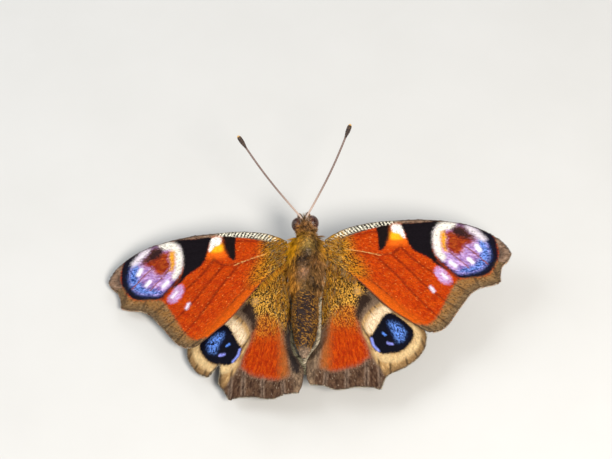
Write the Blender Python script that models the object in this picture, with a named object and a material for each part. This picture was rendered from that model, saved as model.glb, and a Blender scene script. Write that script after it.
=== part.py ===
# Peacock butterfly (Aglais io) basking with open wings: a still model at life size.
# Shapes are drawn in millimetres and scaled to metres at the end.
# The head points to +Y, the left wings to -X, and the floor is z = 0.
import math
import random

import bmesh
import bpy
from mathutils import Matrix, Vector
from mathutils.geometry import delaunay_2d_cdt

MM = 0.001
GAP = 0.3  # clearance between neighbouring nodes

# Stance of the body: thorax centre above the floor, and its turns in degrees
BODY_HEIGHT = 7.4
BODY_PITCH = 10.0
BODY_ROLL = -4.5
BODY_YAW = -2.2
HEAD_YAW = 9.0

# Wing hinge in the level body frame, and how the hindwing lies behind and under the forewing
HINGE = Vector((2.05, 2.75, 0.63))
HIND_BACK = 2.5
HIND_DROP = 1.1
SIDES = {
    "left": {"mirror": -1, "droop": 6.5, "arch": 0.0022,
             "fore_sweep": 3.95, "hind_sweep": 0.37, "slide": -0.63},
    "right": {"mirror": 1, "droop": 6.0, "arch": 0.0030,
              "fore_sweep": -3.95, "hind_sweep": -0.37, "slide": 0.63},
}

# Wing membrane and veins
MEMBRANE = 0.5
VEIN_RISE = 0.11
VEIN_RISE_BELOW = 0.07
VEIN_HALF_WIDTH = 0.26
MARGIN_STEP = 1.0  # spacing of points along the outline, the veins and between them
VEIN_STEP = 1.5
FILL_STEP = 2.3
VEIN_JOIN = 0.32  # vein points nearer than this to another point share it
MARGIN_CLEAR = 0.4  # vein courses keep this far inside the outline, apart from their ends
SOCKET_DEPTH = 1.2  # how deep each wing's boss is rooted in the thorax
FOLD_DEPTH = 0.85  # how far the hindwing dips beside the abdomen
FOLD_WIDTH = 1.25

# Body lengths and thicknesses
THORAX_FRONT = 5.2
THORAX_REAR = -3.4
ABDOMEN_REAR = -13.65
HEAD_FRONT = 8.3
EYE_CENTRE = Vector((1.0, 7.15, 0.85))
EYE_RADII = Vector((0.95, 1.05, 1.15))
EYE_FLAT = 1.05
LEG_THICK = {"femur": 0.66, "tibia": 0.54, "tarsus": 0.5}
COXA_LEAN = Vector((-0.25, 0, 1.9))  # from the hip up to the top of its boss, for the right side
BODY_SQUARE = 2.2  # power of the body's cross-sections: 2 would make them ellipses

# Where each antenna leaves the head, how far it reaches from there, and how far its middle bows outward
ANTENNA_ROOT = (0.45, 7.75, 2.0)
ANTENNA_REACH = {"left": Vector((-9.1, 11.8, 4.0)), "right": Vector((6.3, 13.3, 4.6))}
ANTENNA_BOW = 0.35
ANTENNA_THICK = 0.5
CLUB_LENGTH = 2.3
CLUB_THICK = 0.85

# Wing outlines in the wing's own plane: outward from the hinge, then backward.
# Each run is a smooth curve, and the runs meet at the wing's corners.
FORE_ROOT = 0.67
FORE_OUTLINE = {
    "costa": [(FORE_ROOT, -1.9), (2.2, -2.9), (4.4, -3.85), (7.6, -4.55), (11.0, -4.85), (14.4, -5.02),
              (17.6, -4.88), (20.8, -4.5), (23.3, -3.6), (25.1, -2.6), (26.5, -1.35), (27.3, -0.1)],
    "hook": [(27.3, -0.1), (26.75, 1.1), (25.8, 2.1), (25.45, 3.2), (25.3, 4.7)],
    "outer": [(25.3, 4.7), (23.9, 5.2), (22.3, 5.65), (20.9, 6.6), (19.9, 7.9), (19.0, 9.1),
              (18.15, 10.3), (17.25, 11.55), (16.2, 12.4), (15.1, 12.75)],
    "inner": [(15.1, 12.75), (14.2, 12.6), (11.6, 10.8), (9.1, 9.0), (5.3, 4.9), (2.6, 2.6),
              (FORE_ROOT, 1.3)],
}
FORE_VEINS = {
    "Sc": [(FORE_ROOT, -1.3), (4.2, -3.2), (8.5, -4.0), (12.0, -4.45), (14.4, -5.02)],
    "R": [(FORE_ROOT, -0.75), (3.5, -2.1), (7.0, -2.9), (10.6, -3.2), (15.0, -3.3), (19.5, -3.0),
          (26.5, -1.35)],
    "R1": [(7.0, -2.9), (12.5, -3.9), (17.6, -4.88)],
    "cell end": [(10.6, -3.2), (11.5, -1.8), (11.3, -0.6)],
    "M1": [(11.2, -2.4), (16.0, -2.3), (21.2, -1.3), (23.9, 1.3), (25.3, 4.7)],
    "M2": [(11.5, -1.6), (15.0, -0.9), (18.1, 0.4), (21.0, 3.2), (22.3, 5.65)],
    "M3": [(11.3, -0.6), (14.0, 2.2), (18.0, 4.8), (20.9, 6.6)],
    "Cu": [(FORE_ROOT, -0.1), (3.4, 0.0), (7.4, 0.5), (9.9, 0.5), (11.3, -0.6)],
    "CuA1": [(9.9, 0.5), (12.0, 2.7), (14.5, 5.5), (17.0, 7.7), (19.0, 9.1)],
    "CuA2": [(7.4, 0.5), (10.7, 4.1), (12.4, 6.4), (14.6, 9.0), (17.25, 11.55)],
    "2A": [(FORE_ROOT, 0.6), (2.6, 1.2), (4.9, 3.2), (7.6, 5.5), (10.3, 8.4), (13.0, 11.1), (15.1, 12.75)],
}
HIND_ROOT = 0.75
HIND_OUTLINE = {
    "costa": [(HIND_ROOT, -0.9), (2.5, -1.8), (5.5, -1.2), (9.0, 1.6), (12.2, 5.0), (14.3, 8.0), (15.0, 9.9)],
    "outer": [(15.0, 9.9), (14.75, 11.9), (13.75, 13.6), (12.4, 14.85), (11.3, 15.5), (10.0, 16.2),
              (9.2, 17.0), (8.6, 18.7)],
    "bottom": [(8.6, 18.7), (7.6, 18.4), (6.7, 18.4), (5.0, 18.45), (3.9, 18.75), (2.3, 18.9),
               (0.9, 18.4), (-0.2, 18.3), (-1.2, 18.25)],
    "inner": [(-1.2, 18.25), (-1.6, 17.2), (-1.7, 15.6), (-1.62, 14.4), (-0.82, 12.9), (-0.1, 11.9),
              (0.28, 10.4), (0.3, 8.6), (0.3, 5.5), (0.45, 3.6), (HIND_ROOT, 1.3)],
}
# The left hindwing has a torn notch in place of part of its outer margin
TORN_OUTER = [[(15.0, 9.9), (14.75, 11.9), (13.75, 13.6), (12.9, 14.4), (11.9, 14.85)],
              [(11.9, 14.85), (11.0, 13.8), (10.2, 12.9)],
              [(10.2, 12.9), (10.05, 14.6), (10.2, 16.0), (9.4, 17.2), (8.6, 18.7)]]
HIND_VEINS = {
    "Sc": [(HIND_ROOT, -0.5), (4.0, -0.4), (9.0, 3.0), (13.0, 8.0), (14.75, 11.9)],
    "Rs": [(HIND_ROOT, 0.0), (3.2, 1.0), (7.2, 3.8), (11.2, 8.2), (13.75, 13.6)],
    "M1": [(3.2, 1.0), (5.6, 3.6), (8.4, 6.9), (11.4, 11.4), (12.4, 14.85)],
    "M2": [(5.6, 3.6), (7.6, 7.8), (9.7, 12.0), (10.0, 16.2)],
    "M3": [(3.6, 6.0), (6.3, 9.8), (8.2, 13.6), (8.6, 18.7)],
    "CuA1": [(HIND_ROOT, 0.6), (2.1, 3.0), (3.6, 6.0), (5.2, 9.8), (6.5, 14.0), (6.7, 18.4)],
    "CuA2": [(2.1, 3.0), (3.2, 7.4), (3.9, 13.0), (3.9, 18.75)],
    "2A": [(1.5, 3.6), (2.0, 7.4), (1.4, 13.0), (0.9, 18.4)],
}

# Cross-sections along the body: place, half width, top and bottom, in the level body frame
THORAX_STATIONS = [(5.2, 1.2, 1.5, -0.8), (4.7, 1.75, 1.95, -1.4), (3.7, 2.2, 2.35, -2.1),
                   (2.2, 2.42, 2.6, -2.6), (0.4, 2.46, 2.65, -2.75), (-1.3, 2.34, 2.5, -2.6),
                   (-2.6, 2.05, 2.15, -2.3), (-3.4, 1.75, 1.75, -1.95)]
ABDOMEN_STATIONS = [(-3.7, 1.7, 1.6, -1.85), (-4.6, 1.9, 1.72, -2.05), (-6.0, 1.95, 1.65, -2.15),
                    (-8.0, 1.9, 1.42, -2.1), (-9.8, 1.66, 1.15, -1.85), (-11.3, 1.25, 0.85, -1.4),
                    (-12.5, 0.85, 0.6, -0.95), (-13.3, 0.52, 0.38, -0.55), (-13.65, 0.28, 0.2, -0.3)]
HEAD_STATIONS = [(5.5, 1.05, 1.45, -0.5), (5.95, 1.45, 1.9, -0.55), (6.5, 1.6, 2.12, -0.55),
                 (7.3, 1.55, 2.15, -0.4), (7.95, 1.25, 1.9, -0.15), (8.3, 0.8, 1.45, 0.1)]

# Locks of the thorax coat: widths and thicknesses from root to tip
LOCK_WIDTHS = (0.5, 0.72, 0.62, 0.12)
LOCK_THICKS = (0.5, 0.5, 0.42, 0.1)
LOCK_SPREAD = 3.0  # how far each lock's angle may stray, in degrees
# Rows of locks: place along the body, angles from the top, length, lift and outward lean
LOCK_ROWS = [(4.9, (14, 42), 1.5, 0.3, 0.0), (3.9, (28, 54), 1.9, 0.36, 0.3),
             (2.9, (12, 40), 1.7, 0.26, 0.1), (1.6, (26, 55), 1.8, 0.34, 0.3),
             (0.6, (12, 74), 1.9, 0.3, 0.3), (-0.5, (28, 52, 82), 1.9, 0.3, 0.25),
             (-1.5, (14, 44, 70), 1.8, 0.24, 0.1)]

# Legs on the floor: joint to the thorax, knee, heel and toe, for the right side before mirroring
LEG_JOINTS = {
    "midleg": {"hip": (1.15, 1.5, 4.35), "knee": (3.7, 2.9, 4.7),
               "heel": (5.3, 5.0, 0.85), "toe": (6.6, 7.6)},
    "hindleg": {"hip": (1.05, -1.5, 4.0), "knee": (3.5, -3.6, 4.0),
                "heel": (4.9, -7.2, 0.8), "toe": (5.9, -10.2)},
}

COLOURS = {
    "wing_red": ((0.47, 0.045, 0.01, 1), 0.7),
    "coat_brown": ((0.2, 0.11, 0.03, 1), 0.9),
    "abdomen_brown": ((0.09, 0.055, 0.025, 1), 0.85),
    "eye_brown": ((0.05, 0.015, 0.012, 1), 0.15),
    "leg_brown": ((0.07, 0.04, 0.025, 1), 0.6),
    "antenna_brown": ((0.12, 0.07, 0.05, 1), 0.55),
}


def clear_scene():
    for item in list(bpy.data.objects):
        bpy.data.objects.remove(item, do_unlink=True)


def material(name):
    colour, roughness = COLOURS[name]
    mat = bpy.data.materials.new(name)
    mat.use_nodes = True
    shader = mat.node_tree.nodes["Principled BSDF"]
    shader.inputs["Base Color"].default_value = colour
    shader.inputs["Roughness"].default_value = roughness
    shader.inputs["Metallic"].default_value = 0.0
    mat.diffuse_color = colour
    return mat


def body_matrix():
    turn = (Matrix.Rotation(math.radians(BODY_YAW), 4, "Z")
            @ Matrix.Rotation(math.radians(BODY_ROLL), 4, "Y")
            @ Matrix.Rotation(math.radians(BODY_PITCH), 4, "X"))
    return Matrix.Translation((0, 0, BODY_HEIGHT)) @ turn


BODY = body_matrix()


def head_turn(point):
    # The head turns left about the neck, and the neck's own face stays square to the thorax
    neck = Vector((0, THORAX_FRONT + GAP, 0.5))
    share = smooth((point.y - neck.y) / 0.6)
    turn = Matrix.Rotation(math.radians(HEAD_YAW * share), 3, "Z")
    return turn @ (point - neck) + neck


def smooth(t):
    t = min(max(t, 0.0), 1.0)
    return t * t * (3 - 2 * t)


def catmull(points, step):
    """Even points along a smooth curve through the given ones, with both ends kept."""
    pts = [Vector(p) for p in points]
    ends = [2 * pts[0] - pts[1]] + pts + [2 * pts[-1] - pts[-2]]
    dense = []
    for i in range(1, len(ends) - 2):
        p0, p1, p2, p3 = ends[i - 1:i + 3]
        for k in range(12):
            t = k / 12
            dense.append(0.5 * (2 * p1 + (p2 - p0) * t + (2 * p0 - 5 * p1 + 4 * p2 - p3) * t * t
                                + (3 * p1 - p0 - 3 * p2 + p3) * t ** 3))
    dense.append(pts[-1])
    lengths = [0.0]
    for a, b in zip(dense, dense[1:]):
        lengths.append(lengths[-1] + (b - a).length)
    count = max(1, round(lengths[-1] / step))
    even, j = [], 0
    for k in range(count + 1):
        goal = lengths[-1] * k / count
        while j < len(dense) - 2 and lengths[j + 1] < goal:
            j += 1
        span = lengths[j + 1] - lengths[j]
        even.append(dense[j].lerp(dense[j + 1], (goal - lengths[j]) / span if span else 0.0))
    return even


def new_object(name, bm, matrix=Matrix.Identity(4)):
    bm.normal_update()
    bmesh.ops.recalc_face_normals(bm, faces=bm.faces)
    mesh = bpy.data.meshes.new(name)
    bm.to_mesh(mesh)
    bm.free()
    mesh.transform(matrix)
    obj = bpy.data.objects.new(name, mesh)
    bpy.context.scene.collection.objects.link(obj)
    return obj


def loft(name, rings, matrix=Matrix.Identity(4)):
    """A closed tube through rings that all have the same number of points."""
    bm = bmesh.new()
    rows = [[bm.verts.new(p) for p in ring] for ring in rings]
    count = len(rows[0])
    for near, far in zip(rows, rows[1:]):
        for i in range(count):
            j = (i + 1) % count
            bm.faces.new((near[i], near[j], far[j], far[i]))
    bm.faces.new(rows[0])
    bm.faces.new(list(reversed(rows[-1])))
    return new_object(name, bm, matrix)


def body_outline(y, half_width, top, bottom, angle):
    """A point of a cross-section of the body; the angle runs from the right side up to the top."""
    c, s = math.cos(angle), math.sin(angle)
    x = half_width * math.copysign(abs(c) ** (2 / BODY_SQUARE), c)
    z = (top + bottom) / 2 + (top - bottom) / 2 * math.copysign(abs(s) ** (2 / BODY_SQUARE), s)
    return Vector((x, y, z))


def body_ring(y, half_width, top, bottom, sides):
    return [body_outline(y, half_width, top, bottom, 2 * math.pi * k / sides) for k in range(sides)]


def station_at(stations, y):
    """Half width, top and bottom at y, from a smooth curve through the stations."""
    for i in range(len(stations) - 1):
        a, b = stations[i], stations[i + 1]
        if (a[0] - y) * (b[0] - y) <= 0:
            before = stations[max(i - 1, 0)]
            after = stations[min(i + 2, len(stations) - 1)]
            t = (y - a[0]) / (b[0] - a[0])
            values = []
            for k in (1, 2, 3):
                slope_a = (b[k] - before[k]) / (b[0] - before[0])
                slope_b = (after[k] - a[k]) / (after[0] - a[0])
                h = b[0] - a[0]
                values.append((2 * t ** 3 - 3 * t * t + 1) * a[k] + (t ** 3 - 2 * t * t + t) * h * slope_a
                              + (-2 * t ** 3 + 3 * t * t) * b[k] + (t ** 3 - t * t) * h * slope_b)
            return values
    return list(stations[-1][1:])


def tube(name, points, radii, sides=8, start_plane=None, end_plane=None, flat_floor=False):
    """A tapered tube along points; each end can be cut by a plane given as (point, normal)."""
    rings = []
    side = Vector((0, 0, 1)).cross(points[1] - points[0])
    if side.length < 1e-6:
        side = Vector((1, 0, 0))
    for i, centre in enumerate(points):
        along = (points[min(i + 1, len(points) - 1)] - points[max(i - 1, 0)]).normalized()
        side = (side - along * side.dot(along)).normalized()
        up = along.cross(side)
        ring = []
        for k in range(sides):
            angle = 2 * math.pi * (k + 0.5) / sides
            ring.append(centre + radii[i] * (side * math.cos(angle) + up * math.sin(angle)))
        plane = start_plane if i == 0 else end_plane if i == len(points) - 1 else None
        if plane:
            spot, normal = plane
            ring = [p + along * ((spot - p).dot(normal) / along.dot(normal)) for p in ring]
        if flat_floor:
            ring = [Vector((p.x, p.y, max(p.z, 0.0))) for p in ring]
        rings.append(ring)
    return loft(name, rings)


def joint_planes(centre, into, out):
    """Two parallel cuts a gap apart, square to the bend at a joint."""
    normal = (into.normalized() + out.normalized()).normalized()
    return (centre - normal * GAP / 2, normal), (centre + normal * GAP / 2, normal)


def apply_modifiers(obj):
    graph = bpy.context.evaluated_depsgraph_get()
    graph.update()
    mesh = bpy.data.meshes.new_from_object(obj.evaluated_get(graph))
    old = obj.data
    obj.modifiers.clear()
    obj.data = mesh
    bpy.data.meshes.remove(old)


def boolean(obj, pieces, operation):
    """Joins the pieces to the object, or cuts them from it, in one step, and keeps the largest surface."""
    group = bpy.data.collections.new("pieces")
    bpy.context.scene.collection.children.link(group)
    for piece in pieces:
        bpy.context.scene.collection.objects.unlink(piece)
        group.objects.link(piece)
    mod = obj.modifiers.new("boolean", "BOOLEAN")
    mod.operation = operation
    mod.operand_type = "COLLECTION"
    mod.collection = group
    mod.solver = "EXACT"
    apply_modifiers(obj)
    for piece in pieces:
        bpy.data.objects.remove(piece, do_unlink=True)
    bpy.data.collections.remove(group)
    keep_largest(obj)


def keep_largest(obj):
    bm = bmesh.new()
    bm.from_mesh(obj.data)
    bmesh.ops.remove_doubles(bm, verts=bm.verts, dist=0.01)
    bmesh.ops.dissolve_degenerate(bm, edges=bm.edges, dist=0.005)
    bmesh.ops.triangulate(bm, faces=bm.faces)
    unseen = set(bm.verts)
    shells = []
    while unseen:
        stack = [unseen.pop()]
        shell = set(stack)
        while stack:
            for edge in stack.pop().link_edges:
                for vert in edge.verts:
                    if vert in unseen:
                        unseen.remove(vert)
                        shell.add(vert)
                        stack.append(vert)
        shells.append(shell)
    shells.sort(key=len)
    for shell in shells[:-1]:
        bmesh.ops.delete(bm, geom=list(shell), context="VERTS")
    bm.to_mesh(obj.data)
    bm.free()


# Wings


def inner_margin(back):
    """How far out the hindwing's inner margin lies, this far behind the hinge."""
    return 0.3 - 1.98 * smooth((back - 10.6) / 4.2)


def fold_dip(out, back):
    """The trough that the hindwings' inner margins make along the abdomen."""
    beside = smooth((inner_margin(back) + FOLD_WIDTH - out) / FOLD_WIDTH)
    along = smooth((back - 1.5) / 3.0) * (1 - 0.7 * smooth((back - 14.5) / 3.5))
    return FOLD_DEPTH * beside * along


def wing_point(out, back, lift, side, hind):
    """A point of a wing in the level body frame, before the left side is mirrored."""
    sweep = side["hind_sweep"] if hind else side["fore_sweep"]
    p = Matrix.Rotation(math.radians(-sweep), 3, "Z") @ Vector((out, -back, 0))
    p.z = lift - side["arch"] * max(p.x, 0.0) ** 2
    if hind:
        p.y -= HIND_BACK - side["slide"]
        p.z -= HIND_DROP + fold_dip(out, back)
    return Matrix.Rotation(math.radians(side["droop"]), 3, "Y") @ p + HINGE


def place_wing_points(bm, side, hind):
    for vert in bm.verts:
        vert.co = wing_point(vert.co.x, vert.co.y, vert.co.z, side, hind)
        vert.co.x *= side["mirror"]


def outline_points(runs):
    loop = []
    for run in runs:
        loop += catmull(run, MARGIN_STEP)[:-1]
    count = max(1, round((Vector(runs[0][0]) - Vector(runs[-1][-1])).length / MARGIN_STEP))
    start, end = Vector(runs[-1][-1]), Vector(runs[0][0])
    return loop + [start.lerp(end, k / count) for k in range(count)]


def distance_to_path(p, path):
    best = 1e9
    for a, b in zip(path, path[1:]):
        ab = b - a
        t = min(max((p - a).dot(ab) / ab.length_squared, 0.0), 1.0)
        best = min(best, (p - a - ab * t).length)
    return best


def is_inside(p, loop):
    inside = False
    for a, b in zip(loop, loop[1:] + loop[:1]):
        if (a.y > p.y) != (b.y > p.y) and p.x < (b.x - a.x) * (p.y - a.y) / (b.y - a.y) + a.x:
            inside = not inside
    return inside


def wing_plan(runs, veins):
    """Triangles of the wing in its plane, with an edge along every vein, and each point's vein share."""
    loop = outline_points(runs)
    closed = loop + [loop[0]]
    points = list(loop)
    edges = []
    paths = []
    for course in veins.values():
        path = catmull(course, VEIN_STEP)
        kept = [p for i, p in enumerate(path) if i in (0, len(path) - 1)
                or (distance_to_path(p, closed) > MARGIN_CLEAR and is_inside(p, loop))]
        paths.append(kept)
    for path in paths:
        indices = []
        for p in path:
            near = [i for i, q in enumerate(points) if (q - p).length < VEIN_JOIN]
            if near:
                indices.append(min(near, key=lambda i: (points[i] - p).length))
            elif distance_to_path(p, closed) > VEIN_JOIN / 2 and is_inside(p, loop):
                points.append(p)
                indices.append(len(points) - 1)
        edges += [(a, b) for a, b in zip(indices, indices[1:]) if a != b]
    almost = VEIN_HALF_WIDTH * 0.93
    for path in paths:
        for i in range(len(path) - 1):
            middle = path[i].lerp(path[i + 1], 0.5)
            across = (path[i + 1] - path[i]).normalized().orthogonal()
            for spot in (path[i], middle):
                for sign in (-1, 1):
                    foot = spot + across * sign * VEIN_HALF_WIDTH
                    clear = min(distance_to_path(foot, other) for other in paths) > almost
                    apart = min((q - foot).length for q in points) > almost
                    if clear and apart and distance_to_path(foot, closed) > VEIN_JOIN and is_inside(foot, loop):
                        points.append(foot)
    low_x, high_x = min(p.x for p in loop), max(p.x for p in loop)
    low_y, high_y = min(p.y for p in loop), max(p.y for p in loop)
    row = 0
    y = low_y
    while y < high_y:
        x = low_x + (FILL_STEP / 2 if row % 2 else 0)
        while x < high_x:
            spot = Vector((x, y))
            if is_inside(spot, loop) and min((q - spot).length for q in points) > FILL_STEP * 0.42:
                points.append(spot)
            x += FILL_STEP
        y += FILL_STEP * 0.87
        row += 1
    flat, _, faces, _, _, _ = delaunay_2d_cdt(points, edges, [list(range(len(loop)))], 1, 0.02)
    shares = []
    for p in flat:
        near = min(distance_to_path(p, path) for path in paths)
        shares.append(max(0.0, 1 - near / VEIN_HALF_WIDTH))
    return flat, faces, shares


def wing(name, runs, veins, side, hind, mat):
    flat, faces, shares = wing_plan(runs, veins)
    bm = bmesh.new()
    upper = [bm.verts.new((p.x, p.y, MEMBRANE / 2 + VEIN_RISE * s)) for p, s in zip(flat, shares)]
    lower = [bm.verts.new((p.x, p.y, -MEMBRANE / 2 - VEIN_RISE_BELOW * s)) for p, s in zip(flat, shares)]
    sides_of = {}
    for face in faces:
        bm.faces.new([upper[i] for i in face])
        bm.faces.new([lower[i] for i in reversed(face)])
        for a, b in zip(face, face[1:] + face[:1]):
            sides_of[(a, b)] = True
    for a, b in sides_of:
        if (b, a) not in sides_of:
            bm.faces.new((upper[b], upper[a], lower[a]))
            bm.faces.new((upper[b], lower[a], lower[b]))
    place_wing_points(bm, side, hind)
    obj = new_object(name, bm, BODY)
    obj.data.materials.append(mat)
    return obj


def wing_socket(root, near, far, side, hind):
    """The boss on the thorax whose flat face meets the wing root."""
    bm = bmesh.new()
    bmesh.ops.create_cube(bm, size=1)
    thick = MEMBRANE + 2 * VEIN_RISE
    for vert in bm.verts:
        out = root - GAP - SOCKET_DEPTH * (0.5 - vert.co.x)
        vert.co = (out, near + (far - near) * (vert.co.y + 0.5), thick * vert.co.z)
    place_wing_points(bm, side, hind)
    return new_object("socket", bm, BODY)


# Body


def thorax():
    sides, length = 22, THORAX_FRONT - THORAX_REAR
    rings = []
    for k in range(15):
        y = THORAX_FRONT - length * k / 14
        rings.append(body_ring(y, *station_at(THORAX_STATIONS, y), sides))
    obj = loft("thorax", rings, BODY)
    pieces = []
    for side in SIDES.values():
        pieces.append(wing_socket(FORE_ROOT, -1.9, 1.3, side, False))
        pieces.append(wing_socket(HIND_ROOT, -0.9, 1.3, side, True))
    for joints in LEG_JOINTS.values():
        for mirror in (-1, 1):
            hip, knee = leg_points(joints, mirror)[:2]
            start = coxa_top(hip, mirror)
            cut = joint_planes(hip, hip - start, knee - hip)[0]
            pieces.append(tube("coxa", [start, start.lerp(hip, 0.6), cut[0]], [0.42, 0.45, 0.4], 8, None, cut))
    pieces += coat_locks()
    boolean(obj, pieces, "UNION")
    obj.data.materials.append(material("coat_brown"))
    return obj


def thorax_surface(y, angle):
    """A point of the thorax and its outward direction; the angle runs from the top towards the right."""
    half, top, bottom = station_at(THORAX_STATIONS, min(max(y, THORAX_REAR), THORAX_FRONT))
    spot = body_outline(y, half, top, bottom, math.pi / 2 - angle)
    return spot, Vector((math.sin(angle), 0, math.cos(angle)))


def coat_lock(y, angle, length, lift, outward):
    """A flat tapered lock of hair: rooted in the thorax, lying backward and bending away at its tip."""
    centres = []
    for back, height in ((0.0, -0.6), (0.12, 0.02), (0.5, 0.16 + 0.3 * lift), (1.0, lift)):
        spot, normal = thorax_surface(y - length * back, angle)
        centres.append(spot + normal * height + Vector((outward * back, 0, 0)))
    across = Vector((math.cos(angle), 0, -math.sin(angle)))
    rings = []
    for i, (centre, width, thick) in enumerate(zip(centres, LOCK_WIDTHS, LOCK_THICKS)):
        along = (centres[min(i + 1, 3)] - centres[max(i - 1, 0)]).normalized()
        flat = (across - along * across.dot(along)).normalized() * width / 2
        up = along.cross(flat).normalized() * thick / 2
        turns = [math.pi * k / 3 for k in range(6)]
        rings.append([centre + flat * math.cos(turn) + up * math.sin(turn) for turn in turns])
    return loft("lock", rings, BODY)


def coat_locks():
    """The hair of the thorax: staggered rows of locks, longer along the shoulders and flanks."""
    draw = random.Random(7)
    locks = []
    for y, angles, length, lift, outward in LOCK_ROWS:
        for degrees in angles:
            for mirror in (-1, 1):
                turn = math.radians(mirror * (degrees + draw.uniform(-LOCK_SPREAD, LOCK_SPREAD)))
                place = y + draw.uniform(-0.15, 0.15)
                locks.append(coat_lock(place, turn, length * draw.uniform(0.9, 1.1), lift, mirror * outward))
    return locks


def abdomen():
    segments, sides = 8, 20
    front, length = ABDOMEN_STATIONS[0][0], ABDOMEN_STATIONS[0][0] - ABDOMEN_REAR
    rings = []
    for k in range(segments):
        for share, width in ((0.0, 0.955), (0.16, 1.0), (0.8, 1.0)):
            y = front - length * (k + share) / segments
            half, top, bottom = station_at(ABDOMEN_STATIONS, y)
            middle = (top + bottom) / 2
            rings.append(body_ring(y, half * width, middle + (top - middle) * width,
                                   middle + (bottom - middle) * width, sides))
    rings.append(body_ring(ABDOMEN_REAR, *ABDOMEN_STATIONS[-1][1:], sides))
    obj = loft("abdomen", rings, BODY)
    obj.data.materials.append(material("abdomen_brown"))
    return obj


def eye_shape(name, mirror, grow):
    """An ellipsoid cut flat on its inner side; grown by the gap, it is the socket's cutter."""
    bm = bmesh.new()
    bmesh.ops.create_uvsphere(bm, u_segments=16, v_segments=12, radius=1)
    for vert in bm.verts:
        vert.co = Vector([c * (r + grow) for c, r in zip(vert.co, EYE_RADII)]) + EYE_CENTRE
    cut = bmesh.ops.bisect_plane(bm, geom=bm.verts[:] + bm.edges[:] + bm.faces[:], dist=0.0001,
                                 plane_co=(EYE_FLAT - grow, 0, 0), plane_no=(1, 0, 0), clear_inner=True)
    rim = [item for item in cut["geom_cut"] if isinstance(item, bmesh.types.BMEdge)]
    bmesh.ops.edgeloop_fill(bm, edges=rim)
    for vert in bm.verts:
        vert.co.x *= mirror
        vert.co = head_turn(vert.co)
    return new_object(name, bm, BODY)


def head():
    sides = 20
    rings = []
    for k in range(11):
        y = HEAD_STATIONS[0][0] + (HEAD_FRONT - HEAD_STATIONS[0][0]) * k / 10
        rings.append([head_turn(p) for p in body_ring(y, *station_at(HEAD_STATIONS, y), sides)])
    obj = loft("head", rings, BODY)
    boolean(obj, [eye_shape("cutter", mirror, GAP) for mirror in (-1, 1)], "DIFFERENCE")
    obj.data.materials.append(material("coat_brown"))
    return obj


def head_point(x, y, z):
    return BODY @ head_turn(Vector((x, y, z)))


def eyes():
    mat = material("eye_brown")
    for side, values in SIDES.items():
        obj = eye_shape("eye_" + side, values["mirror"], 0.0)
        obj.data.materials.append(mat)


def palps():
    mat = material("coat_brown")
    for side, values in SIDES.items():
        m = values["mirror"]
        spots = [(0.5, 8.6, 0.65), (0.58, 8.95, 0.4), (0.66, 9.15, -0.05), (0.7, 9.15, -0.6), (0.68, 9.0, -1.05)]
        spots = [head_point(m * x, y, z) for x, y, z in spots]
        obj = tube("palp_" + side, spots, [0.3, 0.34, 0.32, 0.27, 0.12])
        obj.data.materials.append(mat)


def proboscis():
    """The coiled tongue: one open turn under the head, in the plane of symmetry."""
    points = [head_point(0, 7.05, -0.75), head_point(0, 7.0, -1.05)]
    turns, steps = 0.86, 15
    for k in range(1, steps + 1):
        angle = math.pi * (1 + 2 * turns * k / steps)
        reach = 0.8 - 0.22 * k / steps
        points.append(head_point(0, 7.8 + reach * math.cos(angle), -1.45 + reach * math.sin(angle)))
    radii = [0.25] * (len(points) - 3) + [0.23, 0.2, 0.15]
    obj = tube("proboscis", points, radii, 8)
    obj.data.materials.append(material("leg_brown"))


def antennae():
    mat = material("antenna_brown")
    for side, values in SIDES.items():
        root = head_point(values["mirror"] * ANTENNA_ROOT[0], ANTENNA_ROOT[1], ANTENNA_ROOT[2])
        reach = ANTENNA_REACH[side]
        length = reach.length
        bow = Vector((-values["mirror"] * reach.y, reach.x * values["mirror"], 0)).normalized() * ANTENNA_BOW
        spots, radii = [], []
        shares = [0, 0.12, 0.26, 0.4, 0.54, 0.68, 0.8]
        shares += [1 - CLUB_LENGTH / length * s for s in (1.0, 0.72, 0.4, 0.15, 0.0)]
        for share in shares:
            spots.append(root + reach * share - bow * math.sin(math.pi * share))
            in_club = max(0.0, 1 - (1 - share) * length / CLUB_LENGTH)
            radii.append(ANTENNA_THICK / 2 + (CLUB_THICK - ANTENNA_THICK) / 2 * smooth(in_club * 1.7))
        radii[-1] = 0.2
        obj = tube("antenna_" + side, spots, radii, 8)
        obj.data.materials.append(mat)


def leg_points(joints, mirror):
    hip, knee, heel = [Vector((x * mirror, y, z)) for x, y, z in (joints["hip"], joints["knee"], joints["heel"])]
    hip.z += hip.x * math.sin(math.radians(-BODY_ROLL))
    sole = LEG_THICK["tarsus"] / 2 * math.cos(math.pi / 8)
    toe = Vector((joints["toe"][0] * mirror, joints["toe"][1], sole))
    return hip, knee, heel, toe


def coxa_top(hip, mirror):
    return hip + Vector((COXA_LEAN.x * mirror, COXA_LEAN.y, COXA_LEAN.z))


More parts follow.
